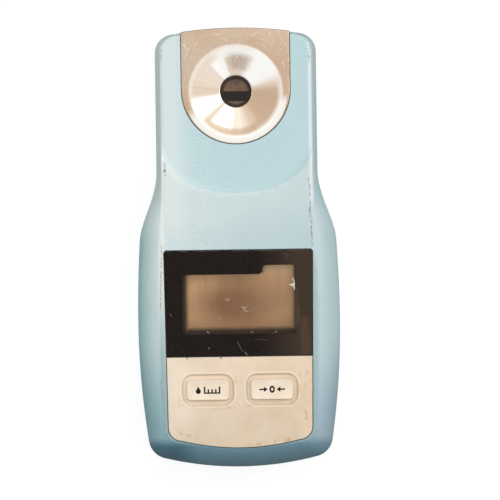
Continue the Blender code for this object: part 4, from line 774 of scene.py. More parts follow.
def panel_inset(distance):
    """The black panel's outline, drawn in."""
    middle = (LABEL_HIGH_Y + PANEL_LOW.y) / 2
    return [(x * (1 - distance / PANEL_HIGH.x), y - math.copysign(distance, y - middle))
            for x, y in panel_outline(LABEL_HIGH_Y, PANEL_LOW.y)]


def make_window():
    """Clear window, its flange held under the black panel."""
    pane = window_outline(0)

    def top(points):
        """Pane flush with the label, and its flange below."""
        rim = edge_distance(points, pane)
        raised = inside(points, pane) | (rim < STEP / 2)
        return np.where(raised, LABEL_TOP - fillet(rim, FILM_EDGE / 2), LABEL_UNDER - GAP)

    guides = [pane, window_outline(-FILM_EDGE / 2), window_outline(STEP)]
    mesh = relief_mesh(window_outline(WINDOW_FLANGE), top, lambda points: WINDOW_LOW.z, [], guides)
    return piece("window_pane", mesh, "case", "display_window")


def key_centres():
    """Name, middle, half width and half height of each key's cap."""
    for name, low, high in (("read", READ_LOW, READ_HIGH), ("zero", ZERO_LOW, ZERO_HIGH)):
        yield name, (low + high) / 2, (high.x - low.x) / 2 - KEY_FLANGE, (high.y - low.y) / 2 - KEY_FLANGE


def make_keypad():
    """Cream lower part of the label, with a soft moat round each key."""
    outer = keypad_outline(KEYPAD_HIGH.y)
    holes, guides = [], [keypad_outline(KEYPAD_HIGH.y - FILM_EDGE, -FILM_EDGE)]
    for _, middle, half_x, half_y in key_centres():
        holes.append(rounded_rectangle(half_x + KEY_FIT, half_y + KEY_FIT, KEY_CORNER, middle.x, middle.y))
        for share in MOAT_SHARES:
            off = MOAT_WALL * share
            guides.append(rounded_rectangle(MOAT_WIDTH / 2 - off, MOAT_LENGTH / 2 - off, MOAT_CORNER - off,
                                            middle.x, middle.y))

    def top(points):
        """Film with a moat and a ridge round each key."""
        height = LABEL_TOP - fillet(edge_distance(points, outer), FILM_EDGE)
        for _, middle, _, _ in key_centres():
            off = box_distance(points, MOAT_WIDTH / 2, MOAT_LENGTH / 2, MOAT_CORNER, middle.x, middle.y)
            height = height - MOAT_DEPTH * smooth(-off / MOAT_WALL)
            height = height + MOAT_RIDGE * np.exp(-((off - MOAT_RIDGE_OFF) / MOAT_RIDGE_OFF) ** 2)
        return height

    mesh = relief_mesh(outer, top, lambda points: LABEL_UNDER, holes, guides)
    return piece("keypad_film", mesh, "case", "keypad_overlay", 50)


def make_keys():
    """Keys with a soft edge and a faint dent, each with its flange below the film."""
    for name, middle, half_x, half_y in key_centres():
        low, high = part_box(name + "_key")
        cap = rounded_rectangle(half_x, half_y, KEY_CORNER, middle.x, middle.y)
        guides = [cap]
        for off in (-STEP, *(KEY_EDGE * share for share in KEY_SHARES)):
            corner = max(KEY_CORNER - off, KEY_LEAST_CORNER)
            guides.append(rounded_rectangle(half_x - off, half_y - off, corner, middle.x, middle.y))

        def top(points):
            """Cap with a soft edge and a faint dent, and the flange below it."""
            off = box_distance(points, half_x, half_y, KEY_CORNER, middle.x, middle.y)
            cap_height = high.z - fillet(-off, KEY_EDGE) - KEY_DENT * smooth((-off - KEY_EDGE) / KEY_EDGE)
            return np.where(off > STEP / 2, low.z + KEY_FLANGE_THICKNESS, cap_height)

        flange = rounded_rectangle(half_x + KEY_FLANGE, half_y + KEY_FLANGE, KEY_CORNER, middle.x, middle.y)
        mesh = relief_mesh(flange, top, lambda points: low.z, [], guides)
        piece(name + "_button_cap", mesh, name + "_button", name + "_key", 50)


def make_door():
    """Battery door with soft edges and its two counterbores."""
    half_x, half_y = DOOR_HIGH.x, (DOOR_HIGH.y - DOOR_LOW.y) / 2
    outer = rounded_rectangle(half_x, half_y, DOOR_CORNER, 0, DOOR_Y)
    holes = [circle(DOOR_SHANK_RADIUS + GAP, 0, y, ROD_STEPS) for y in DOOR_SCREW_YS]
    guides = [rounded_rectangle(half_x - off, half_y - off, DOOR_CORNER - off, 0, DOOR_Y)
              for off in (DOOR_EDGE * share for share in EDGE_SHARES)]
    bore = DOOR_HEAD_RADIUS + GAP
    guides += [circle(bore + step, 0, y, BORE_STEPS) for y in DOOR_SCREW_YS for step in BORE_STEPS_OUT]

    def bottom(points):
        """Outer face with soft edges and two counterbores."""
        height = DOOR_LOW.z + fillet(edge_distance(points, outer), DOOR_EDGE)
        for y in DOOR_SCREW_YS:
            radius = np.hypot(points[:, 0], points[:, 1] - y)
            height = np.where(radius < bore, DOOR_LOW.z + DOOR_COUNTERBORE + GAP,
                              height + fillet(radius - bore, LIP_ROUND))
        return height

    mesh = relief_mesh(outer, lambda points: DOOR_HIGH.z, bottom, holes, guides)
    return piece("door_cover", mesh, "battery_cover", "battery_door")


def tone(red, green, blue):
    """Linear colour from its display values."""
    return tuple(((value / TONE_FULL + TONE_OFFSET) / (1 + TONE_OFFSET)) ** TONE_POWER
                 for value in (red, green, blue))


class Share:
    """A number in a node tree, which adds up like any other number."""

    def __init__(self, nodes, socket):
        """Keep the tree and the socket that gives the number."""
        self.nodes = nodes
        self.socket = socket

    def __add__(self, other):
        """Sum of two numbers."""
        return self.nodes.math("ADD", self, other)

    def __sub__(self, other):
        """This number less another."""
        return self.nodes.math("SUBTRACT", self, other)

    def __rsub__(self, other):
        """Another number less this one."""
        return self.nodes.math("SUBTRACT", other, self)

    def __mul__(self, other):
        """Product of two numbers."""
        return self.nodes.math("MULTIPLY", self, other)

    def __abs__(self):
        """Size without its sign."""
        return self.nodes.math("ABSOLUTE", self)

    def most(self, other):
        """The larger of two numbers."""
        return self.nodes.math("MAXIMUM", self, other)

    def ease(self, low, high):
        """From 0 at low to 1 at high, smoothly."""
        node = self.nodes.add("MapRange", {"Value": self, "From Min": low, "From Max": high},
                              interpolation_type="SMOOTHSTEP")
        return Share(self.nodes, node.outputs["Result"])


def strongest(shares):
    """The largest of several shares."""
    return functools.reduce(Share.most, shares)


class Nodes:
    """A node tree, with short ways to add to it."""

    def __init__(self, tree, place):
        """Keep the tree and the place that its patterns follow."""
        self.tree = tree
        self.place = self.add("TexCoord").outputs[place]

    def add(self, kind, inputs=(), **settings):
        """A node with its settings and inputs."""
        node = self.tree.nodes.new("ShaderNode" + kind)
        for name, value in settings.items():
            setattr(node, name, value)
        for key, value in dict(inputs).items():
            self.feed(node.inputs[key], value)
        return node

    def feed(self, socket, value):
        """Link or set one socket."""
        if isinstance(value, Share):
            value = value.socket
        if isinstance(value, bpy.types.NodeSocket):
            self.tree.links.new(value, socket)
        elif socket.type == "RGBA":
            socket.default_value = (*value, 1)
        else:
            socket.default_value = value

    def math(self, operation, *values):
        """A sum on numbers."""
        return Share(self, self.add("Math", enumerate(values), operation=operation).outputs[0])

    def vector(self, operation, *values):
        """A sum on vectors."""
        node = self.add("VectorMath", enumerate(values), operation=operation)
        if operation in ("LENGTH", "DOT_PRODUCT", "DISTANCE"):
            return Share(self, node.outputs["Value"])
        return node.outputs["Vector"]

    def mix(self, share, first, second):
        """Two colours mixed."""
        node = self.add("Mix", data_type="RGBA")
        for index, value in ((0, share), (6, first), (7, second)):
            self.feed(node.inputs[index], value)
        return node.outputs[2]

    def between(self, share, first, second):
        """Two numbers mixed."""
        return Share(self, self.add("Mix", {0: share, 2: first, 3: second}).outputs[0])


class Look(Nodes):
    """A material."""

    def __init__(self, name, roughness, metallic=0.0, specular=0.5):
        """Start the material with its even values."""
        self.material = bpy.data.materials.new("look_" + name)
        self.material.use_nodes = True
        super().__init__(self.material.node_tree, "Object")
        self.shader = self.tree.nodes["Principled BSDF"]
        self.set("Roughness", roughness)
        self.set("Metallic", metallic)
        self.set("Specular IOR Level", specular)

    def set(self, socket, value):
        """Feed one socket of the shader."""
        self.feed(self.shader.inputs[socket], value)

    def axis(self, letter, vector=None):
        """One part of a vector or of the place, or the distance to either side."""
        if letter == "side":
            return abs(self.axis("X"))
        source = self.place if vector is None else vector
        return Share(self, self.add("SeparateXYZ", {"Vector": source}).outputs[letter])

    def zone(self, share, *limits):
        """A share eased in along each limit: axis, then where it starts and is full in mm."""
        total = share
        for letter, start, full in limits:
            total = self.axis(letter).ease(start / MM, full / MM) * total
        return total

    def zones(self, places):
        """Several zones by name."""
        return {name: self.zone(*place) for name, place in places.items()}

    def noise(self, scale, detail=2.0, roughness=0.5, place=None):
        """Soft noise, its scale in features a metre."""
        inputs = {"Vector": self.place if place is None else place, "Scale": scale,
                  "Detail": detail, "Roughness": roughness}
        return Share(self, self.add("TexNoise", inputs).outputs["Fac"])

    def grain(self, scale, detail, roughness, start, full, share=1.0):
        """A share in patches, where the noise lies past one value and towards another."""
        return self.noise(scale, detail, roughness).ease(start, full) * share

    def gloss(self, scale, detail, reach, least):
        """Roughness that noise raises from its least value."""
        self.set("Roughness", self.noise(scale, detail) * reach + least)

    def stretched(self, x, y, z):
        """Object place with each axis scaled."""
        return self.vector("MULTIPLY", self.place, (x, y, z))

    def wobbly(self, scale, reach):
        """Object place shaken by noise."""
        shake = self.add("TexNoise", {"Vector": self.place, "Scale": scale, "Detail": 3}).outputs["Color"]
        shift = self.vector("MULTIPLY", self.vector("SUBTRACT", shake, (0.5, 0.5, 0.5)), (reach, reach, 0))
        return self.vector("ADD", self.place, shift)

    def mark(self, stroke, place):
        """How much of a stroke from one place to another covers each point: x, y, x, y, width in mm."""
        x0, y0, x1, y1, width = (value / MM for value in stroke)
        from_start = self.vector("SUBTRACT", self.vector("MULTIPLY", place, (1, 1, 0)), (x0, y0, 0))
        run = (x1 - x0, y1 - y0, 0)
        along = self.add("MapRange", {"Value": self.vector("DOT_PRODUCT", from_start, run),
                                      "From Max": max(math.hypot(*run) ** 2, TINY)}).outputs["Result"]
        nearest = self.add("VectorMath", {0: run, "Scale": along}, operation="SCALE").outputs[0]
        return self.vector("DISTANCE", from_start, nearest).ease(width / 2, width / 8)

    def marks(self, strokes, place=None):
        """The strongest of several strokes."""
        return strongest([self.mark(stroke, self.place if place is None else place) for stroke in strokes])

    def box(self, x, y, half_x, half_y, soft):
        """1 inside an upright rectangle, with soft sides."""
        dx = abs(self.axis("X") - x) - half_x
        dy = abs(self.axis("Y") - y) - half_y
        return dx.most(dy).ease(soft, -soft)

    def moat(self, x, y):
        """Distance outward from the edge of the moat round a key at a place."""
        flat = self.vector("ABSOLUTE", self.vector("SUBTRACT", self.place, (x, y, 0)))
        corner = (MOAT_WIDTH / 2 - MOAT_CORNER, MOAT_LENGTH / 2 - MOAT_CORNER, 1)
        past = self.vector("MAXIMUM", self.vector("SUBTRACT", flat, corner), (0, 0, 0))
        return self.vector("LENGTH", past) - MOAT_CORNER

    def bump(self, height, depth, bevel=0.0):
        """Feed a bump to the shader, over normals rounded at sharp edges where a bevel is given."""
        inputs = {"Height": height, "Distance": depth}
        if bevel:
            inputs["Normal"] = self.add("Bevel", {"Radius": bevel}, samples=4).outputs["Normal"]
        self.set("Normal", self.add("Bump", inputs).outputs["Normal"])


# The moulding's blue, then copies of it painted by zone: lighter ones for painted light on the pad, the
# lowered head and some flanks, darker ones for painted shade on the flanks, grip and sole, and a darker one
# beside the label. The pale copy also gives the moulding's mottle.
BLUE = tone(178, 200, 203)
BLUE_MOTTLE_AND_LIT = tone(200, 215, 216)
BLUE_HEAD_LIT = tone(180, 209, 213)
BLUE_FLANK_SHADE = tone(155, 200, 202)
BLUE_RIGHT_FLANK_LIT = tone(184, 212, 214)
BLUE_HEAD_FLANK_LIT = tone(228, 248, 249)
BLUE_GRIP_SHADE = tone(140, 176, 185)
BLUE_RIGHT_GRIP_SHADE = tone(151, 175, 186)
BLUE_SOLE_SHADE = tone(106, 146, 160)
BLUE_LEFT_SOLE_SHADE = tone(60, 108, 128)
BLUE_BESIDE_LABEL = tone(140, 166, 168)
# Tones of painted sparkle and edge highlights, then of scuffs, dark rubs and dirt
HIGHLIGHT_PALE = tone(232, 236, 232)
EDGE_WEAR_AND_HIGHLIGHT = tone(250, 250, 244)
RUB_PALE = tone(214, 208, 196)
RUB_DARK = tone(92, 92, 84)

# Share, then axis, start and full place in mm of each limit of a zone
CASE_ZONES = {
    # Painted light: paler to the left, towards the pad's upper end, and on the lowered head
    "left": (0.7, ("X", 20, -20)),
    "pad": (0.75, ("Y", 1, 14.5)),
    "head": (0.85, ("Z", 26.6, 25.9), ("Y", 8, 14)),
    # Painted shade on the flanks, grip and sole, with painted light on the head's left flank and the right
    # flanks
    "flank": (1, ("Z", 26.2, 18)),
    "head_flank": (1, ("X", 14, -18), ("Y", 2, 16), ("Z", 14, 21)),
    "right_flank": (1, ("X", -14, 14)),
    "grip_flank": (1, ("Y", -19, -52)),
    "right_grip": (1, ("X", -10, 15)),
    "grip": (0.95, ("Y", -20, -50)),
    "sole": (0.9, ("Y", -50.5, -53.5)),
    "left_sole": (1, ("X", -10, -18)),
    # Darker on the strip beside the label
    "beside_label": (0.6, ("side", 18.9, 19.5), ("Y", 0, -6), ("Z", 26.2, 26.8)),
    # Painted sparkle of the grain, painted highlights along the right edge and the slope, painted light on
    # the left of the neck, and a painted highlight along the left edge over its wear
    "speckled": (0.42, ("X", 4, -19), ("Y", -34, -4)),
    "right_edge": (0.7, ("X", 19.1, 19.7), ("X", 20.7, 20.2), ("Y", 10, 14), ("Z", 24.5, 25.2)),
    "left_edge": (0.5, ("X", -10, -17.5), ("Y", -3, 11)),
    "slope": (0.4, ("Z", 25.9, 26.5), ("Z", 26.99, 26.9), ("Y", 12, 13.5)),
    "rim": (0.62, ("X", -19.6, -20), ("Z", 26.1, 26.5), ("Y", -30, -4)),
}
CASE_MOTTLE = (46, 4, 0.5, 0.32, 0.7, 0.3)
CASE_DIRT = (700, 5, 0.7, 0.72, 0.8, 0.25)
CASE_GLOSS = (220, 3, 0.16, 0.36)
CASE_SKIN = 2600
CASE_BUMP = 0.00005
CASE_BEVEL = 0.00025
SPECK = (2500, 2, 0.6)
SPECK_SHARE = 0.4
SPECK_LEAST = 0.08
SPECK_FACE = (0.45, 0.66)
SPECK_EDGE = (0.2, 0.5)
SPECK_SLOPE = (0.44, 0.62)
SPECK_SCUFF = (0.42, 0.62)
SPECK_RUB = (0.46, 0.56)
WEAR_WOBBLE = (500, 0.0009)
SCUFF_SHARE = 0.55
RUB_SHARE = 0.75
# Strokes are x, y, x, y and width in mm
CASE_SCUFFS = ((-19.3, 22.6, -19.3, 19.4, 1.3), (-20.5, 0.5, -21.2, -16.6, 1.5),
               (-20.8, 3.2, -20.5, -2.0, 1.0), (-18.6, 27.5, -17.9, 25.6, 0.6),
               (17.9, 9.0, 19.2, 5.5, 0.6), (-14.2, 20.9, -10.1, 17.9, 0.7))
CASE_RUBS = ((-19.4, 22.8, -19.2, 19.6, 0.9), (19.35, 18.2, 19.9, 0.5, 0.55),
             (19.5, 10.2, 19.8, 6.8, 0.9), (-21.2, -35.0, -21.0, -40.6, 0.4),
             (19.9, 54.2, 19.75, 49.4, 0.5), (-19.85, 53.4, -19.95, 50.4, 0.45),
             (-20.4, 0.7, -21.1, -16.4, 0.35))


def case_blues(look, zone):
    """The moulding's blue and mottle, painted lighter and darker by zone as light and shade on pad, lowered
    head, flanks, grip and sole, and darker beside the label.
    """
    colour = look.mix(look.grain(*CASE_MOTTLE) + zone["left"] + zone["pad"], BLUE, BLUE_MOTTLE_AND_LIT)
    colour = look.mix(zone["head"], colour, BLUE_HEAD_LIT)
    flank = look.mix(zone["right_flank"], BLUE_FLANK_SHADE, BLUE_RIGHT_FLANK_LIT)
    flank = look.mix(zone["head_flank"], flank, BLUE_HEAD_FLANK_LIT)
    deep = look.mix(zone["right_grip"], BLUE_GRIP_SHADE, BLUE_RIGHT_GRIP_SHADE)
    colour = look.mix(zone["flank"], colour, look.mix(zone["grip_flank"], flank, deep))
    colour = look.mix(zone["grip"], colour, deep)
    sole = look.mix(zone["left_sole"], BLUE_SOLE_SHADE, BLUE_LEFT_SOLE_SHADE)
    return look.mix(zone["beside_label"], look.mix(zone["sole"], colour, sole), BLUE_BESIDE_LABEL)


def case_highlights_and_wear(look, zone, speck, colour):
    """Painted sparkle and edge highlights, then scuffs, dark rubs and dirt."""
    # Painted sparkle of the grain and painted highlights on the edges and the slope
    painted_highlights = speck.ease(*SPECK_FACE) * (zone["speckled"] + SPECK_LEAST)
    painted_highlights = painted_highlights.most(zone["right_edge"] * speck.ease(*SPECK_EDGE)).most(zone["left_edge"])
    painted_highlights = painted_highlights.most(zone["slope"] * speck.ease(*SPECK_SLOPE))
    colour = look.mix(zone["rim"], look.mix(painted_highlights, colour, HIGHLIGHT_PALE), EDGE_WEAR_AND_HIGHLIGHT)
    place = look.wobbly(*WEAR_WOBBLE)
    scuff = look.marks(CASE_SCUFFS, place) * speck.ease(*SPECK_SCUFF) * SCUFF_SHARE
    rubs_and_sheen = look.marks(CASE_RUBS, place) * speck.ease(*SPECK_RUB) * RUB_SHARE
    colour = look.mix(rubs_and_sheen, look.mix(scuff, colour, RUB_PALE), RUB_DARK)
    return look.mix(look.grain(*CASE_DIRT), colour, RUB_DARK)


def case_look():
    """Fine-grained pale blue moulding, scuffed along its edges, with painted light, shade and highlights."""
    look = Look("case_blue", CASE_GLOSS[-1])
    zone = look.zones(CASE_ZONES)
    speck = look.noise(*SPECK)
    look.set("Base Color", case_highlights_and_wear(look, zone, speck, case_blues(look, zone)))
    look.gloss(*CASE_GLOSS)
    look.bump(look.noise(CASE_SKIN) + speck * SPECK_SHARE, CASE_BUMP, CASE_BEVEL)
    return look


# The plate's steel and its mottle; the paler dish tone and the darker tones make painted reflections in the
# turned dish, and the white gives painted highlights there as well as flecks and scratches
STEEL = tone(208, 185, 161)
STEEL_DISH_REFLECTION = tone(238, 222, 205)
STEEL_BROWN = tone(202, 172, 144)
STEEL_SHADE = tone(204, 190, 171)
STEEL_LOW_REFLECTION = tone(190, 168, 142)
STEEL_WHITE = tone(255, 253, 249)
STEEL_DARK_REFLECTION = tone(190, 170, 153)
STEEL_MOTTLE = (90, 4, 0.5, 0.3, 0.7)
STEEL_FLECK = (2200, 4, 0.7, 0.42, 0.75, 0.18)
STEEL_BUMP = 0.000006
BRUSH = (5200, 3, 0.6)
BRUSH_STRETCH = 0.03
BRUSH_GLOSS = (0.16, 0.26)
TURNED_GLOSS = (0.2, 0.2)
ANISOTROPY = 0.75
RING_TURN = 0.004
RAY = (420, 4, 0.6)
RAY_PLACE = (0.05, 0.12)
RAY_EASE = (0.4, 0.7)
RAY_SHARE = 0.25
RAY_SHAKE = 0.9
WEDGE_EASE = (0.05, 0.95)
# How far a wedge fades in before its start and out about its end, in mm
WEDGE_FADE_IN = 2
WEDGE_FADE_OUT = (0.6, -1.6)
DISH_EDGE = 0.0005
LOW_SIDE = 171
LOW_SIDE_EASE = (0.17, 0.42)
# Painted highlights on the dish's rim
RIM_GRAIN = (1500, 4, 0.7, 0.25, 0.62, 0.35)
RIM_SHARE = 0.85
HIGH_RIM = (0.0113, 0.0121, 0.0131, 0.0125)
LOW_RIM = (0.0117, 0.0123, 0.0141, 0.0137)
# Patches of the dark reflection painted in the dish
DARK_REFLECTION_GRAIN = (1800, 4, 0.7, 0.2, 0.6, 0.9)
SCRATCH_GRAIN = (1100, 3, 0.5, 0.36, 0.62)
SCRATCH_WOBBLE = (160, 0.0022)
SCRATCH_SHARE = 0.6
PLATE_SCRATCHES = ((-10.2, 55.8, -13.7, 51.0, 0.2), (-9.2, 56.6, -12.4, 49.6, 0.14),
                   (-13.4, 56.9, -12.7, 46.5, 0.14), (3.4, 56.9, 8.6, 58.2, 0.18),
                   (4.2, 57.4, 12.4, 53.2, 0.14), (8.8, 57.8, 13.7, 47.3, 0.17),
                   (-6.2, 57.6, -2.1, 55.6, 0.14), (11.2, 57.9, 14.0, 53.7, 0.2),
                   (-14.0, 43.0, -13.6, 48.6, 0.16), (-13.9, 54.6, -12.6, 53.4, 0.3),
                   (-13.2, 55.6, -12.2, 54.8, 0.26), (6.0, 55.2, 9.4, 52.9, 0.12),
                   (12.6, 50.4, 14.1, 45.0, 0.16), (-8.4, 57.0, 1.8, 57.7, 0.12))
# Painted reflections in the turned dish, as wedges of light and shade: clock angle, half width and softness
# in degrees, start and end from the dish's centre in mm, tone, share
DISH_REFLECTION_WEDGES = ((122, 37, 18, 3.0, 12.0, STEEL_BROWN, 0.92), (226, 6, 12, 4.0, 12.0, STEEL_SHADE, 0.85),
               (270, 7, 9, 4.0, 13.0, STEEL, 0.4), (158, 8, 14, 4.0, 10.0, STEEL_DISH_REFLECTION, 0.3),
               (-31, 6, 11, 3.0, 10.5, STEEL_WHITE, 1.0), (46, 19, 17, 3.0, 13.0, STEEL_WHITE, 1.0),
               (14, 40, 16, 10.4, 12.6, STEEL_WHITE, 0.9), (204, 9, 14, 3.0, 11.6, STEEL_WHITE, 1.0),
               (246, 10, 12, 5.0, 12.6, STEEL_WHITE, 0.95), (186, 32, 20, 11.0, 12.6, STEEL_LOW_REFLECTION, 0.85))
# A dark reflection painted in patches near the top of the dish: clock angle, half width and softness in
# degrees, start and end in mm
DISH_DARK_REFLECTION = (7, 13, 15, 7.0, 10.6)


def clock(angle):
    """Direction of a clock angle, in degrees from the head's end towards the right."""
    return math.sin(math.radians(angle)), math.cos(math.radians(angle)), 0


def wedge(look, away, radius, place):
    """How much of a wedge of the dish covers each point."""
    angle, half, soft, start, end = place
    fade_start, fade_end = (end + step for step in WEDGE_FADE_OUT)
    side = look.vector("DOT_PRODUCT", away, clock(angle)).ease(
        math.cos(math.radians(half + soft)), math.cos(math.radians(max(half - soft, 0))))
    reach = radius.ease(fade_start / MM, fade_end / MM)
    return side * reach * radius.ease((start - WEDGE_FADE_IN) / MM, start / MM)


def polar_noise(look, angle, radius, turn, reach, noise):
    """Noise over the angle and the radius about the dish's centre."""
    place = look.add("CombineXYZ", {"X": angle * turn, "Y": radius * reach}).outputs[0]
    return look.noise(*noise, place)


def dish_tones(look, away, radius, in_dish, ray, colour):
    """Painted reflections in the turned dish: a paler streaked tone, wedges of light and shade, highlighted
    rims and a patchy dark reflection.
    """
    # Painted reflection: the dish paler than the flange, streaked along rays
    colour = look.mix(in_dish, colour, look.mix(ray.ease(*RAY_EASE) * RAY_SHARE, STEEL_DISH_REFLECTION, STEEL))
    shake = (ray - 0.5) * RAY_SHAKE
    for *place, shade, share in DISH_REFLECTION_WEDGES:
        cover = wedge(look, away, radius, place)
        ragged = (cover + cover * shake).ease(*WEDGE_EASE)
        colour = look.mix(ragged * in_dish * share, colour, shade)
    # Painted highlights on the rim, strongest on its low side
    high_rim = radius.ease(*HIGH_RIM[:2]) * radius.ease(*HIGH_RIM[2:]) * look.grain(*RIM_GRAIN)
    low_side = look.vector("DOT_PRODUCT", away, clock(LOW_SIDE)).ease(*LOW_SIDE_EASE)
    low_rim = radius.ease(*LOW_RIM[:2]) * radius.ease(*LOW_RIM[2:]) * low_side * RIM_SHARE
    colour = look.mix(high_rim.most(low_rim), colour, STEEL_WHITE)
    # A patchy dark reflection painted near the top of the dish
    dark_reflection = wedge(look, away, radius, DISH_DARK_REFLECTION) * in_dish * look.grain(*DARK_REFLECTION_GRAIN)
    return look.mix(dark_reflection, colour, STEEL_DARK_REFLECTION)


def steel_look():
    """Brushed steel, turned in rings inside the dish, with painted reflections and highlights there."""
    look = Look("steel", 0, 1.0)
    centre = look.vector("SUBTRACT", look.place, (0, DISH_Y, 0))
    from_centre = look.vector("MULTIPLY", centre, (1, 1, 0))
    radius = look.vector("LENGTH", from_centre)
    away = look.vector("NORMALIZE", from_centre)
    in_dish = radius.ease(DISH_RIM_RADIUS, DISH_RIM_RADIUS - DISH_EDGE)
    angle = look.math("ARCTAN2", look.axis("X", from_centre), look.axis("Y", from_centre))
    turned = polar_noise(look, angle, radius, RING_TURN, 1.0, BRUSH)
    ray = polar_noise(look, angle, radius, *RAY_PLACE, RAY)
    brushed = look.noise(*BRUSH, look.stretched(1, BRUSH_STRETCH, 1))
    colour = look.mix(look.grain(*STEEL_MOTTLE), STEEL, STEEL_BROWN)
    colour = look.mix(look.grain(*STEEL_FLECK), colour, STEEL_WHITE)
    colour = dish_tones(look, away, radius, in_dish, ray, colour)
    scratch = look.marks(PLATE_SCRATCHES, look.wobbly(*SCRATCH_WOBBLE)) * look.grain(*SCRATCH_GRAIN)
    scratch = scratch * SCRATCH_SHARE
    look.set("Base Color", look.mix(scratch, colour, STEEL_WHITE))
    flat_gloss, dish_gloss = (noise * reach + least for noise, (reach, least)
                              in ((brushed, BRUSH_GLOSS), (turned, TURNED_GLOSS)))
    look.set("Roughness", look.between(in_dish, flat_gloss, dish_gloss))
    look.set("Anisotropic", ANISOTROPY)
    round_dish = look.vector("CROSS_PRODUCT", away, (0, 0, 1))
    look.set("Tangent", look.add("Mix", {0: in_dish, 4: (0, 1, 0), 5: round_dish},
                                 data_type="VECTOR").outputs[1])
    look.bump(look.between(in_dish, brushed, turned) + scratch, STEEL_BUMP)
    return look


FILM = tone(24, 17, 14)
# A brown for the film's grain, its rubbing and the painted sheen at its right
FILM_BROWN = tone(92, 72, 57)
FILM_PALE = tone(150, 140, 128)
FILM_STREAK = (1700, 4, 0.6)
FILM_STREAK_STRETCH = 0.1
FILM_STREAK_EASE = (-0.1, 0.8)
FILM_RUB_AND_SHEEN_SHARE = 0.55
# Browner to the right, from rubbing and a painted sheen
FILM_RIGHT_RUB_AND_SHEEN = (0.4, ("X", 4, 18))
FILM_GRAIN = (1500, 4, 0.7, 0.45, 0.8, 0.16)
FILM_EDGE_GRAIN = (600, 3, 0.5, 0.4, 0.62, 0.45)
FILM_SCRATCH_SHARE = 0.6
FILM_RUB_AND_SHEEN_WOBBLE = (260, 0.0022)
FILM_SCRATCH_WOBBLE = (900, 0.0003)
FILM_GLOSS = (300, 4, 0.2, 0.4)
FILM_SKIN = (1800, 3)
FILM_BUMP = 0.000008
# Rubbed streaks that also carry a painted brown sheen: x, y, x, y and width in mm
FILM_RUBS_AND_SHEEN = ((15.4, -12.0, 15.6, -20.0, 2.4), (17.6, -20.0, 17.9, -28.0, 3.8))
FILM_SCRATCHES = ((-0.5, -25.4, 0.8, -27.9, 0.16), (1.45, -28.0, 2.15, -28.9, 0.3),
                  (11.9, -1.6, 13.6, -2.3, 0.1), (12.4, -2.5, 13.1, -3.2, 0.08),
                  (-18.6, -17.4, -18.1, -18.0, 0.16), (-18.1, -18.0, -18.0, -18.5, 0.12),
                  (-8.17, -26.8, -8.17, -26.85, 0.5), (4.2, -24.7, 7.8, -24.9, 0.08))
FILM_NICKS = ((-19.0, -0.9, 19.0, -0.9, 0.28),)


def film_look():
    """Black printed film, rubbed brown at its right, with a painted sheen there."""
    look = Look("black_print", 0.5, 0.0, 0.1)
    streak = look.noise(*FILM_STREAK, look.stretched(1, FILM_STREAK_STRETCH, 1))
    # Rubbed streaks with a painted brown sheen at the right
    rubs_and_sheen = look.marks(FILM_RUBS_AND_SHEEN, look.wobbly(*FILM_RUB_AND_SHEEN_WOBBLE)) * streak.ease(*FILM_STREAK_EASE)
    colour = look.mix(rubs_and_sheen * FILM_RUB_AND_SHEEN_SHARE, FILM, FILM_BROWN)
    colour = look.mix(look.zone(*FILM_RIGHT_RUB_AND_SHEEN), colour, FILM_BROWN)
    colour = look.mix(look.grain(*FILM_GRAIN), colour, FILM_BROWN)
    scratch = look.marks(FILM_SCRATCHES, look.wobbly(*FILM_SCRATCH_WOBBLE))
    scratch = scratch.most(look.marks(FILM_NICKS) * look.grain(*FILM_EDGE_GRAIN))
    look.set("Base Color", look.mix(scratch * FILM_SCRATCH_SHARE, colour, FILM_PALE))
    look.gloss(*FILM_GLOSS)
    look.bump(look.noise(*FILM_SKIN), FILM_BUMP)
    return look


CREAM = tone(227, 205, 180)
CREAM_PALE = tone(240, 222, 201)
CREAM_LOW = tone(240, 217, 186)
CREAM_WORN = tone(217, 193, 163)
CREAM_TAN = tone(214, 182, 140)
STAIN = tone(168, 128, 84)
# A darker line in each key's moat, and a painted highlight along the ridge outside it
GROOVE = tone(184, 160, 122)
RIDGE = tone(246, 232, 212)
READ_X = (READ_LOW.x + READ_HIGH.x) / 2
ZERO_X = (ZERO_LOW.x + ZERO_HIGH.x) / 2
KEY_Y = (READ_LOW.y + READ_HIGH.y) / 2
CREAM_ZONES = {
    "right": (0.75, ("X", -4, 20)),
    "low": (0.85, ("Y", -45, -53)),
    "left": (1, ("X", -8, -19)),
}
CREAM_MOTTLE = (130, 4, 0.5, 0.4, 0.68, 0.3)
CREAM_CLOUD = (210, 5, 0.7, 0.48, 0.72, 0.22)
CREAM_SPECK = (1300, 4, 0.7, 0.68, 0.76, 0.3)
STAIN_GRAIN = (420, 5, 0.65, 0.44, 0.66, 0.4)
STAIN_WOBBLE = (240, 0.0026)
CHIP_WOBBLE = (1500, 0.0004)
# Distances outward from the moat's edge where a ring starts and is full, and where it ends and is full
GROOVE_RING = (-0.0007, -0.0002, 0.00012, -0.0001)
GROOVE_SHARE = 0.42
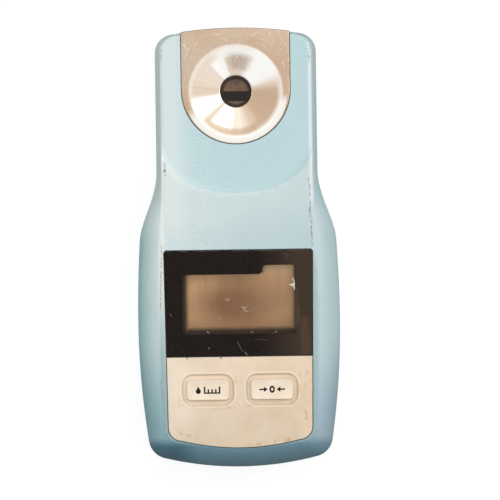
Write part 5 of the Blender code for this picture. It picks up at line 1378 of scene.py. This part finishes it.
# Painted highlight along each moat's ridge
RIDGE_RING = (0.0, 0.0002, 0.0006, 0.0003)
RIDGE_SHARE = 0.5
CREAM_GLOSS = (260, 3, 0.18, 0.34)
CREAM_SKIN = (1500, 3)
CREAM_BUMP = 0.00001
CREAM_CHIPS = ((-14.1, -29.3, -14.0, -29.6, 0.5), (-5.0, -29.4, -4.9, -29.7, 0.4),
               (3.0, -29.4, 3.1, -29.5, 0.3))
CREAM_STAINS = ((-15.2, -42.2, -2.2, -42.6, 1.5), (1.0, -42.3, 15.8, -42.0, 1.5),
                (15.8, -34.5, 16.4, -42.0, 1.7), (-1.2, -34.0, -0.9, -42.0, 1.0),
                (-16.2, -36.0, -16.3, -42.2, 0.9), (17.8, -30.0, 17.6, -46.0, 1.3),
                (-17.9, -48.0, -10.0, -52.4, 1.4), (2.0, -53.0, 14.0, -51.4, 1.6))


def cream_look():
    """Cream printed film with wear and stains round the keys, a darker line in each moat and a painted
    highlight along its ridge.
    """
    look = Look("cream_print", CREAM_GLOSS[-1], 0.0, 0.35)
    zone = look.zones(CREAM_ZONES)
    colour = look.mix(zone["right"], look.mix(zone["left"], CREAM, CREAM_PALE), CREAM_WORN)
    colour = look.mix(zone["low"], colour, CREAM_LOW)
    colour = look.mix(look.grain(*CREAM_MOTTLE), colour, CREAM_PALE)
    colour = look.mix(look.grain(*CREAM_CLOUD), colour, CREAM_TAN)
    stain = look.marks(CREAM_STAINS, look.wobbly(*STAIN_WOBBLE)) * look.grain(*STAIN_GRAIN)
    colour = look.mix(stain, colour, STAIN)
    for x in (READ_X, ZERO_X):
        off = look.moat(x, KEY_Y)
        # A darker line in the groove, and a painted highlight on the ridge
        for ring, share, shade in ((GROOVE_RING, GROOVE_SHARE, GROOVE), (RIDGE_RING, RIDGE_SHARE, RIDGE)):
            cover = off.ease(*ring[:2]) * off.ease(*ring[2:])
            colour = look.mix(cover * share, colour, shade)
    dark = look.marks(CREAM_CHIPS, look.wobbly(*CHIP_WOBBLE)).most(look.grain(*CREAM_SPECK))
    look.set("Base Color", look.mix(dark, colour, RUB_DARK))
    look.gloss(*CREAM_GLOSS)
    look.bump(look.noise(*CREAM_SKIN), CREAM_BUMP)
    return look


KEY_CREAM = tone(236, 217, 194)
KEY_CREAM_PALE = tone(243, 227, 206)
KEY_INK = tone(22, 13, 10)
KEY_MOTTLE = (260, 4, 0.5, 0.35, 0.7)
KEY_GRIME = (900, 4, 0.7, 0.6, 0.75, 0.16)
KEY_GLOSS = (260, 3, 0.16, 0.32)
INK_GRAIN = (2400, 2, 0.5, 0.12, 0.24)
PRINT_SOFT = 0.00003
# Bars of each key's mark about the key's middle: across, up, half width and half height in mm
READ_BARS = ((-0.9, 0, 0.21, 0.95), (0.1, -0.35, 0.21, 0.6), (1.1, -0.35, 0.21, 0.6),
             (2.1, -0.35, 0.21, 0.6), (3.1, 0, 0.21, 0.95), (1.1, -0.79, 2.21, 0.19))
ZERO_BARS = ((-2.6, 0, 0.85, 0.2), (2.6, 0, 0.85, 0.2))
DROP_ACROSS = -0.0026
DROP_UP = -0.00032
DROP_BALL = (0.00072, 0.00064)
DROP_HALF = 0.0007
DROP_TAPER = 0.52
DROP_FOOT = (0.0, 0.00005)
DROP_TIP = (0.00135, 0.0013)
NOUGHT_HALF_WIDTH = 0.00078
NOUGHT_HALF_HEIGHT = 0.00102
NOUGHT_LINE = 0.00026
NOUGHT_SOFT = 0.7
ARROW_TIP = 0.0012
ARROW_SLOPE = 0.72
ARROW_BACK = (0.00103, 0.00097)
ARROW_FRONT = (0.0, 0.00003)


def key_look(name, symbol):
    """Cream key with its printed symbol."""
    look = Look(name, KEY_GLOSS[-1], 0.0, 0.2)
    colour = look.mix(look.grain(*KEY_MOTTLE), KEY_CREAM, KEY_CREAM_PALE)
    colour = look.mix(look.grain(*KEY_GRIME), colour, STAIN)
    ink = strongest(symbol(look)) * look.grain(*INK_GRAIN)
    look.set("Base Color", look.mix(ink, colour, KEY_INK))
    look.gloss(*KEY_GLOSS)
    look.bump(look.noise(*CREAM_SKIN), CREAM_BUMP)
    return look


def bar_marks(look, key_x, places):
    """Printed bars about a key's middle."""
    return [look.box(key_x + across / MM, KEY_Y + up / MM, half_x / MM, half_y / MM, PRINT_SOFT)
            for across, up, half_x, half_y in places]


def drop_mark(look):
    """A drop of sample beside a short scale."""
    x = look.axis("X") - (READ_X + DROP_ACROSS)
    y = look.axis("Y") - (KEY_Y + DROP_UP)
    ball = look.math("SQRT", x * x + y * y).ease(*DROP_BALL)
    cone = (abs(x) - (DROP_HALF - y * DROP_TAPER)).ease(PRINT_SOFT, -PRINT_SOFT)
    cone = cone * y.ease(*DROP_FOOT) * y.ease(*DROP_TIP)
    return [ball, cone, *bar_marks(look, READ_X, READ_BARS)]


def nought_mark(look):
    """An upright oval ring."""
    place = look.vector("SUBTRACT", look.place, (ZERO_X, KEY_Y, 0))
    round_place = look.vector("MULTIPLY", place, (1 / NOUGHT_HALF_WIDTH, 1 / NOUGHT_HALF_HEIGHT, 0))
    line = NOUGHT_LINE / NOUGHT_HALF_WIDTH
    return abs(look.vector("LENGTH", round_place) - (1 - line)).ease(line, line * NOUGHT_SOFT)


def zero_mark(look):
    """A nought between two arrows that point at it."""
    shares = [nought_mark(look), *bar_marks(look, ZERO_X, ZERO_BARS)]
    for side in (-1, 1):
        x = (look.axis("X") - (ZERO_X + side * ARROW_TIP)) * side
        y = abs(look.axis("Y") - KEY_Y)
        tip = (y - x * ARROW_SLOPE).ease(PRINT_SOFT, -PRINT_SOFT)
        shares.append(tip * x.ease(*ARROW_BACK) * x.ease(*ARROW_FRONT))
    return shares


# Display tones: a dark frame round the glass, with painted shade on its soft edge; the tab and the right are
# painted lighter, as painted light where the window's edge shades the glass
LCD_EDGE = tone(34, 26, 22)
LCD_TAB_LIT = tone(255, 213, 166)
LCD_DARK = tone(140, 98, 68)
LCD_MID = tone(208, 163, 122)
LCD_PALE = tone(245, 196, 144)
LCD_CLOUD = (60, 4, 0.55)
LCD_CLOUD_SHIFT = (0.0, 0.004, 0.0)
LCD_CLOUD_REACH = 0.012
LCD_MIDDLE = (0.0005, -0.0155, 0)
LCD_STRETCH = (1.0, 1.9, 0)
LCD_DIM = (0.021, 0.002)
LCD_DIM_SHARE = 0.9
LCD_ZONES = {
    "right": (0.45, ("X", -4, 12)),
    "tab": (1, ("Y", -8.5, -5.5)),
    "low": (0.4, ("Y", -17.5, -21.5)),
}
# x, y, half width, half height and softness of the lit glass below the window and below its tab
LCD_LIT = ((0.0004, -0.0141, 0.0143, 0.0075, 0.0008), (0.0107, -0.010, 0.0041, 0.0060, 0.0006))
LCD_EDGE_SHARE = 0.96
LCD_STREAK = (1500, 3, 0.6)
LCD_STREAK_STRETCH = 0.04
LCD_STREAK_EASE = (0.35, 0.75)
LCD_STREAK_SHARE = 0.13
LCD_BUMP = 0.000004


def lcd_look():
    """Unlit display glass, darker in its middle and along its frame, faintly streaked, with painted shade on
    the frame's soft edge and painted light on its right and tab.
    """
    look = Look("lcd_glass", 0.3, 0.0, 0.2)
    zone = look.zones(LCD_ZONES)
    cloud = look.noise(*LCD_CLOUD, look.vector("ADD", look.place, LCD_CLOUD_SHIFT))
    middle = look.vector("MULTIPLY", look.vector("SUBTRACT", look.place, LCD_MIDDLE), LCD_STRETCH)
    dim = (look.vector("LENGTH", middle) + (cloud - 0.5) * LCD_CLOUD_REACH).ease(*LCD_DIM)
    colour = look.mix(dim * LCD_DIM_SHARE, LCD_PALE, LCD_DARK)
    # Painted light on the right and in the tab, where the window's edge shades the glass; darker low down
    for name, shade in (("right", LCD_MID), ("tab", LCD_TAB_LIT), ("low", LCD_DARK)):
        colour = look.mix(zone[name], colour, shade)
    lit = strongest([look.box(*place) for place in LCD_LIT])
    # The dark frame round the glass, with painted shade along its soft edge
    colour = look.mix((1.0 - lit) * LCD_EDGE_SHARE, colour, LCD_EDGE)
    streak = look.noise(*LCD_STREAK, look.stretched(1, LCD_STREAK_STRETCH, 1))
    look.set("Base Color", look.mix(streak.ease(*LCD_STREAK_EASE) * LCD_STREAK_SHARE, colour, LCD_DARK))
    look.bump(streak, LCD_BUMP)
    return look


PANE = tone(84, 68, 54)
PANE_WORN = tone(238, 228, 214)
PANE_WOBBLE = (700, 0.0005)
CHIP_SHAKE = (900, 0.0008)
PANE_HAZE = (500, 5, 0.7, 0.45, 0.8)
PANE_SLANT = (0.15, 0.95)
# Cover of the clear pane, and what haze, a slanted view and scratches add to it
PANE_COVER = 0.06
HAZE_COVER = 0.05
SLANT_COVER = 0.5
SCRATCH_COVER = 0.62
PANE_GLOSS = (0.2, 0.12)
PANE_WAVE = 90
PANE_BUMP = 0.00002
PANE_SCRATCHES = ((-3.7, -13.9, -2.6, -14.1, 0.13), (-3.0, -13.5, -2.5, -13.9, 0.1),
                  (0.8, -15.8, 1.6, -16.7, 0.15), (1.4, -16.2, 2.3, -15.9, 0.12),
                  (1.2, -17.0, 2.6, -17.1, 0.12), (-5.3, -18.5, -5.1, -19.1, 0.14),
                  (-8.6, -22.4, -8.1, -22.8, 0.14), (3.1, -22.8, 3.7, -22.5, 0.14),
                  (9.6, -22.9, 10.1, -22.6, 0.14), (-12.2, -9.4, -11.6, -9.6, 0.08),
                  (6.4, -12.1, 6.7, -12.6, 0.08))
PANE_CHIP = ((14.6, -8.3, 14.85, -10.0, 0.35), (14.85, -9.6, 14.9, -11.3, 0.5),
             (13.9, -10.2, 14.8, -10.5, 0.8), (14.4, -9.9, 14.8, -10.3, 0.7))


def pane_look():
    """Clear window, scratched and chipped at its right."""
    look = Look("clear_pane", PANE_GLOSS[-1], 0.0, 0.4)
    scratch = look.marks(PANE_SCRATCHES, look.wobbly(*PANE_WOBBLE))
    scratch = scratch.most(look.marks(PANE_CHIP, look.wobbly(*CHIP_SHAKE)))
    haze = look.grain(*PANE_HAZE)
    look.set("Base Color", look.mix(scratch, PANE, PANE_WORN))
    facing = look.add("LayerWeight", {"Blend": 0.5}).outputs["Facing"]
    slant = Share(look, facing).ease(*PANE_SLANT)
    cover = haze * HAZE_COVER + (slant * SLANT_COVER + PANE_COVER)
    look.set("Alpha", scratch * SCRATCH_COVER + cover)
    look.set("Roughness", haze * PANE_GLOSS[0] + PANE_GLOSS[1])
    look.bump(look.noise(PANE_WAVE), PANE_BUMP)
    return look


LENS = tone(214, 224, 226)
LENS_PALE = tone(232, 238, 240)
LENS_NOISE = 300
LENS_COVER = 0.35
LENS_WAVE = 200
LENS_BUMP = 0.00001


def lens_look():
    """Clear moulded lens."""
    look = Look("lens", 0.06)
    look.set("Base Color", look.mix(look.noise(LENS_NOISE), LENS, LENS_PALE))
    look.set("Alpha", LENS_COVER)
    look.bump(look.noise(LENS_WAVE), LENS_BUMP)
    return look


PRISM_BROWN = tone(112, 86, 68)
PRISM_PALE = tone(130, 102, 82)
PRISM_SLIT = tone(24, 14, 11)
# Painted shade round the prism's rim
PRISM_RIM = tone(46, 32, 26)
PRISM_MOTTLE = (700, 3, 0.5, 0.3, 0.7)
SLIT_HIGH = (0.0003, 0.0)
SLIT_LOW = (-0.0027, -0.0024)
PRISM_SHADE = (0.0031, 0.0036)
PRISM_SHADE_SHARE = 0.85
PRISM_GLOSS = (800, 3, 0.12, 0.06)
PRISM_WAVE = 120
PRISM_BUMP = 0.00001


def prism_look():
    """Brown-looking glass prism with the dark band of its slit, and painted shade round its rim."""
    look = Look("prism_glass", PRISM_GLOSS[-1], 0.0, 0.3)
    y = look.axis("Y") - DISH_Y
    body = look.mix(look.grain(*PRISM_MOTTLE), PRISM_BROWN, PRISM_PALE)
    body = look.mix(y.ease(*SLIT_HIGH) * y.ease(*SLIT_LOW), body, PRISM_SLIT)
    centre = look.vector("SUBTRACT", look.place, (0, DISH_Y, 0))
    rim = look.vector("LENGTH", look.vector("MULTIPLY", centre, (1, 1, 0))).ease(*PRISM_SHADE)
    look.set("Base Color", look.mix(rim * PRISM_SHADE_SHARE, body, PRISM_RIM))
    look.gloss(*PRISM_GLOSS)
    look.bump(look.noise(PRISM_WAVE), PRISM_BUMP)
    return look


PLAIN_EASE = (0.3, 0.7)
PLAIN_GLOSS_REACH = 0.2
PLAIN_GLOSS_DROP = 0.1
PLAIN_BUMP = 0.00002
PLAIN_BEVEL = 0.0001
# Two tones, roughness, metallic share and grain in features a metre of each even material
PLAIN = {
    "dark_plastic": (tone(34, 32, 31), tone(46, 43, 41), 0.5, 0.0, 400),
    "rubber": (tone(26, 25, 25), tone(38, 36, 35), 0.75, 0.0, 400),
    "board_green": (tone(24, 84, 52), tone(36, 104, 66), 0.4, 0.0, 900),
    "brass": (tone(200, 164, 96), tone(224, 190, 122), 0.35, 1.0, 400),
    "zinc": (tone(176, 178, 180), tone(206, 208, 208), 0.38, 1.0, 900),
    "nickel": (tone(196, 192, 184), tone(220, 216, 208), 0.3, 1.0, 900),
    "cell_wrap": (tone(52, 56, 62), tone(70, 74, 80), 0.35, 0.0, 300),
    "ribbon": (tone(176, 112, 44), tone(196, 134, 62), 0.45, 0.0, 600),
}


def plain_look(name, first, second, roughness, metallic, scale):
    """An even material with fine mottling, uneven gloss and a light bump."""
    look = Look(name, roughness, metallic)
    look.set("Base Color", look.mix(look.grain(scale, 4, 0.6, *PLAIN_EASE), first, second))
    look.gloss(scale / 2, 3, PLAIN_GLOSS_REACH, roughness - PLAIN_GLOSS_DROP)
    look.bump(look.noise(scale * 4, 3), PLAIN_BUMP, PLAIN_BEVEL)
    return look


LOOKS = {"case_blue": case_look(), "steel": steel_look(), "black_print": film_look(),
         "cream_print": cream_look(), "clear_lens": lens_look(), "lcd_glass": lcd_look(),
         "prism_glass": prism_look()}
LOOKS.update((name, plain_look(name, *values)) for name, values in PLAIN.items())
CAPS = {"read": key_look("read_key", drop_mark), "zero": key_look("zero_key", zero_mark)}


def dress(obj, look):
    """Give a piece its one material."""
    obj.data.materials.clear()
    obj.data.materials.append(look.material)


def dress_all():
    """Every piece of the frame and of the scene takes the look of its slot."""
    for part in frame["record"]["subparts"]:
        dress(frame["nodes"][part["node"]], LOOKS[part["material_slot"]])
    for obj, slot in ((shell, "case_blue"), (rear, "case_blue"), (door, "case_blue"), (plate, "steel"),
                      (panel, "black_print"), (keypad, "cream_print")):
        dress(obj, LOOKS[slot])
    dress(window, pane_look())
    for name, look in CAPS.items():
        dress(bpy.data.objects[name + "_button_cap"], look)


shell = make_front_shell()
rear = make_rear_shell()
plate = make_plate()
panel = make_panel()
window = make_window()
keypad = make_keypad()
make_keys()
door = make_door()
dress_all()

# Camera, straight above and turned a little, as the photograph was taken
CAMERA_HEIGHT = 2.0
CAMERA_REACH = 10
FRAME_WIDTH = 0.134
SENSOR = 0.036
ROLL = math.radians(-0.83)
CENTRE_X = 0.0032
CENTRE_Y = -0.0007

# Light: a bright sky, a lamp from the upper right, a small one at each side, a faint bluish surround
SKY_CENTRE = Vector((0.03, 0.2, 0.98)).normalized()
SKY_EDGE = 0.2
SKY_FULL = 0.68
SKY_TONE = (1.0, 1.0, 1.0)
SURROUND = (0.06, 0.09, 0.11)
# Place, size in metres, power in watts and tone of each lamp
LAMPS = {
    "key_lamp": ((0.84, 1.48, 1.68), 2.2, 7.0, (1.0, 0.96, 0.92)),
    "right_fill": ((1.13, 0.25, 0.44), 0.5, 5.0, (1.0, 0.97, 0.99)),
    "left_fill": ((-1.13, 0.2, 0.4), 0.5, 3.2, (0.86, 1.0, 0.96)),
}
FLOOR_HALF = 2
FLOOR_THICKNESS = 0.01
FLOOR_TONE = 0.22
FLOOR_LIFT = 0.85
WHITE = (1, 1, 1)


def make_camera():
    """The camera above the display face."""
    data = bpy.data.cameras.new("camera")
    data.sensor_width = SENSOR * MM
    data.lens = SENSOR * MM * CAMERA_HEIGHT / FRAME_WIDTH
    data.clip_end = CAMERA_REACH
    camera = bpy.data.objects.new("camera", data)
    bpy.context.scene.collection.objects.link(camera)
    camera.location = (CENTRE_X, CENTRE_Y, PAD_TOP + CAMERA_HEIGHT)
    camera.rotation_euler = (0, 0, ROLL)
    bpy.context.scene.camera = camera


def make_floor():
    """A plain pale floor that looks white and keeps the object's shadow."""
    corners = [(x * FLOOR_HALF, y * FLOOR_HALF) for x, y in ((-1, -1), (1, -1), (1, 1), (-1, 1))]
    floor = bpy.data.objects.new("floor", prism_mesh(corners, -FLOOR_THICKNESS, 0))
    bpy.context.scene.collection.objects.link(floor)
    look = Look("floor", 0.9, 0.0, 0.0)
    look.set("Base Color", (FLOOR_TONE, FLOOR_TONE, FLOOR_TONE))
    look.set("Emission Color", WHITE)
    seen = Share(look, look.add("LightPath").outputs["Is Camera Ray"])
    look.set("Emission Strength", seen * FLOOR_LIFT)
    dress(floor, look)


def make_lamps():
    """Square soft lamps that look at the object's middle."""
    for name, (place, size, power, colour) in LAMPS.items():
        data = bpy.data.lights.new(name, "AREA")
        data.size = size
        data.energy = power
        data.color = colour
        lamp = bpy.data.objects.new(name, data)
        bpy.context.scene.collection.objects.link(lamp)
        lamp.location = place
        lamp.rotation_euler = (-Vector(place)).to_track_quat("-Z", "Y").to_euler()


def make_world():
    """Light from above that fades towards the horizon."""
    world = bpy.data.worlds.new("world")
    bpy.context.scene.world = world
    world.use_nodes = True
    sky = Nodes(world.node_tree, "Generated")
    aim = sky.vector("DOT_PRODUCT", sky.place, SKY_CENTRE)
    light = sky.mix(aim.ease(SKY_EDGE, SKY_FULL), SURROUND, SKY_TONE)
    sky.feed(world.node_tree.nodes["Background"].inputs["Color"], light)


make_camera()
make_floor()
make_lamps()
make_world()
bpy.context.scene.view_settings.view_transform = "Standard"
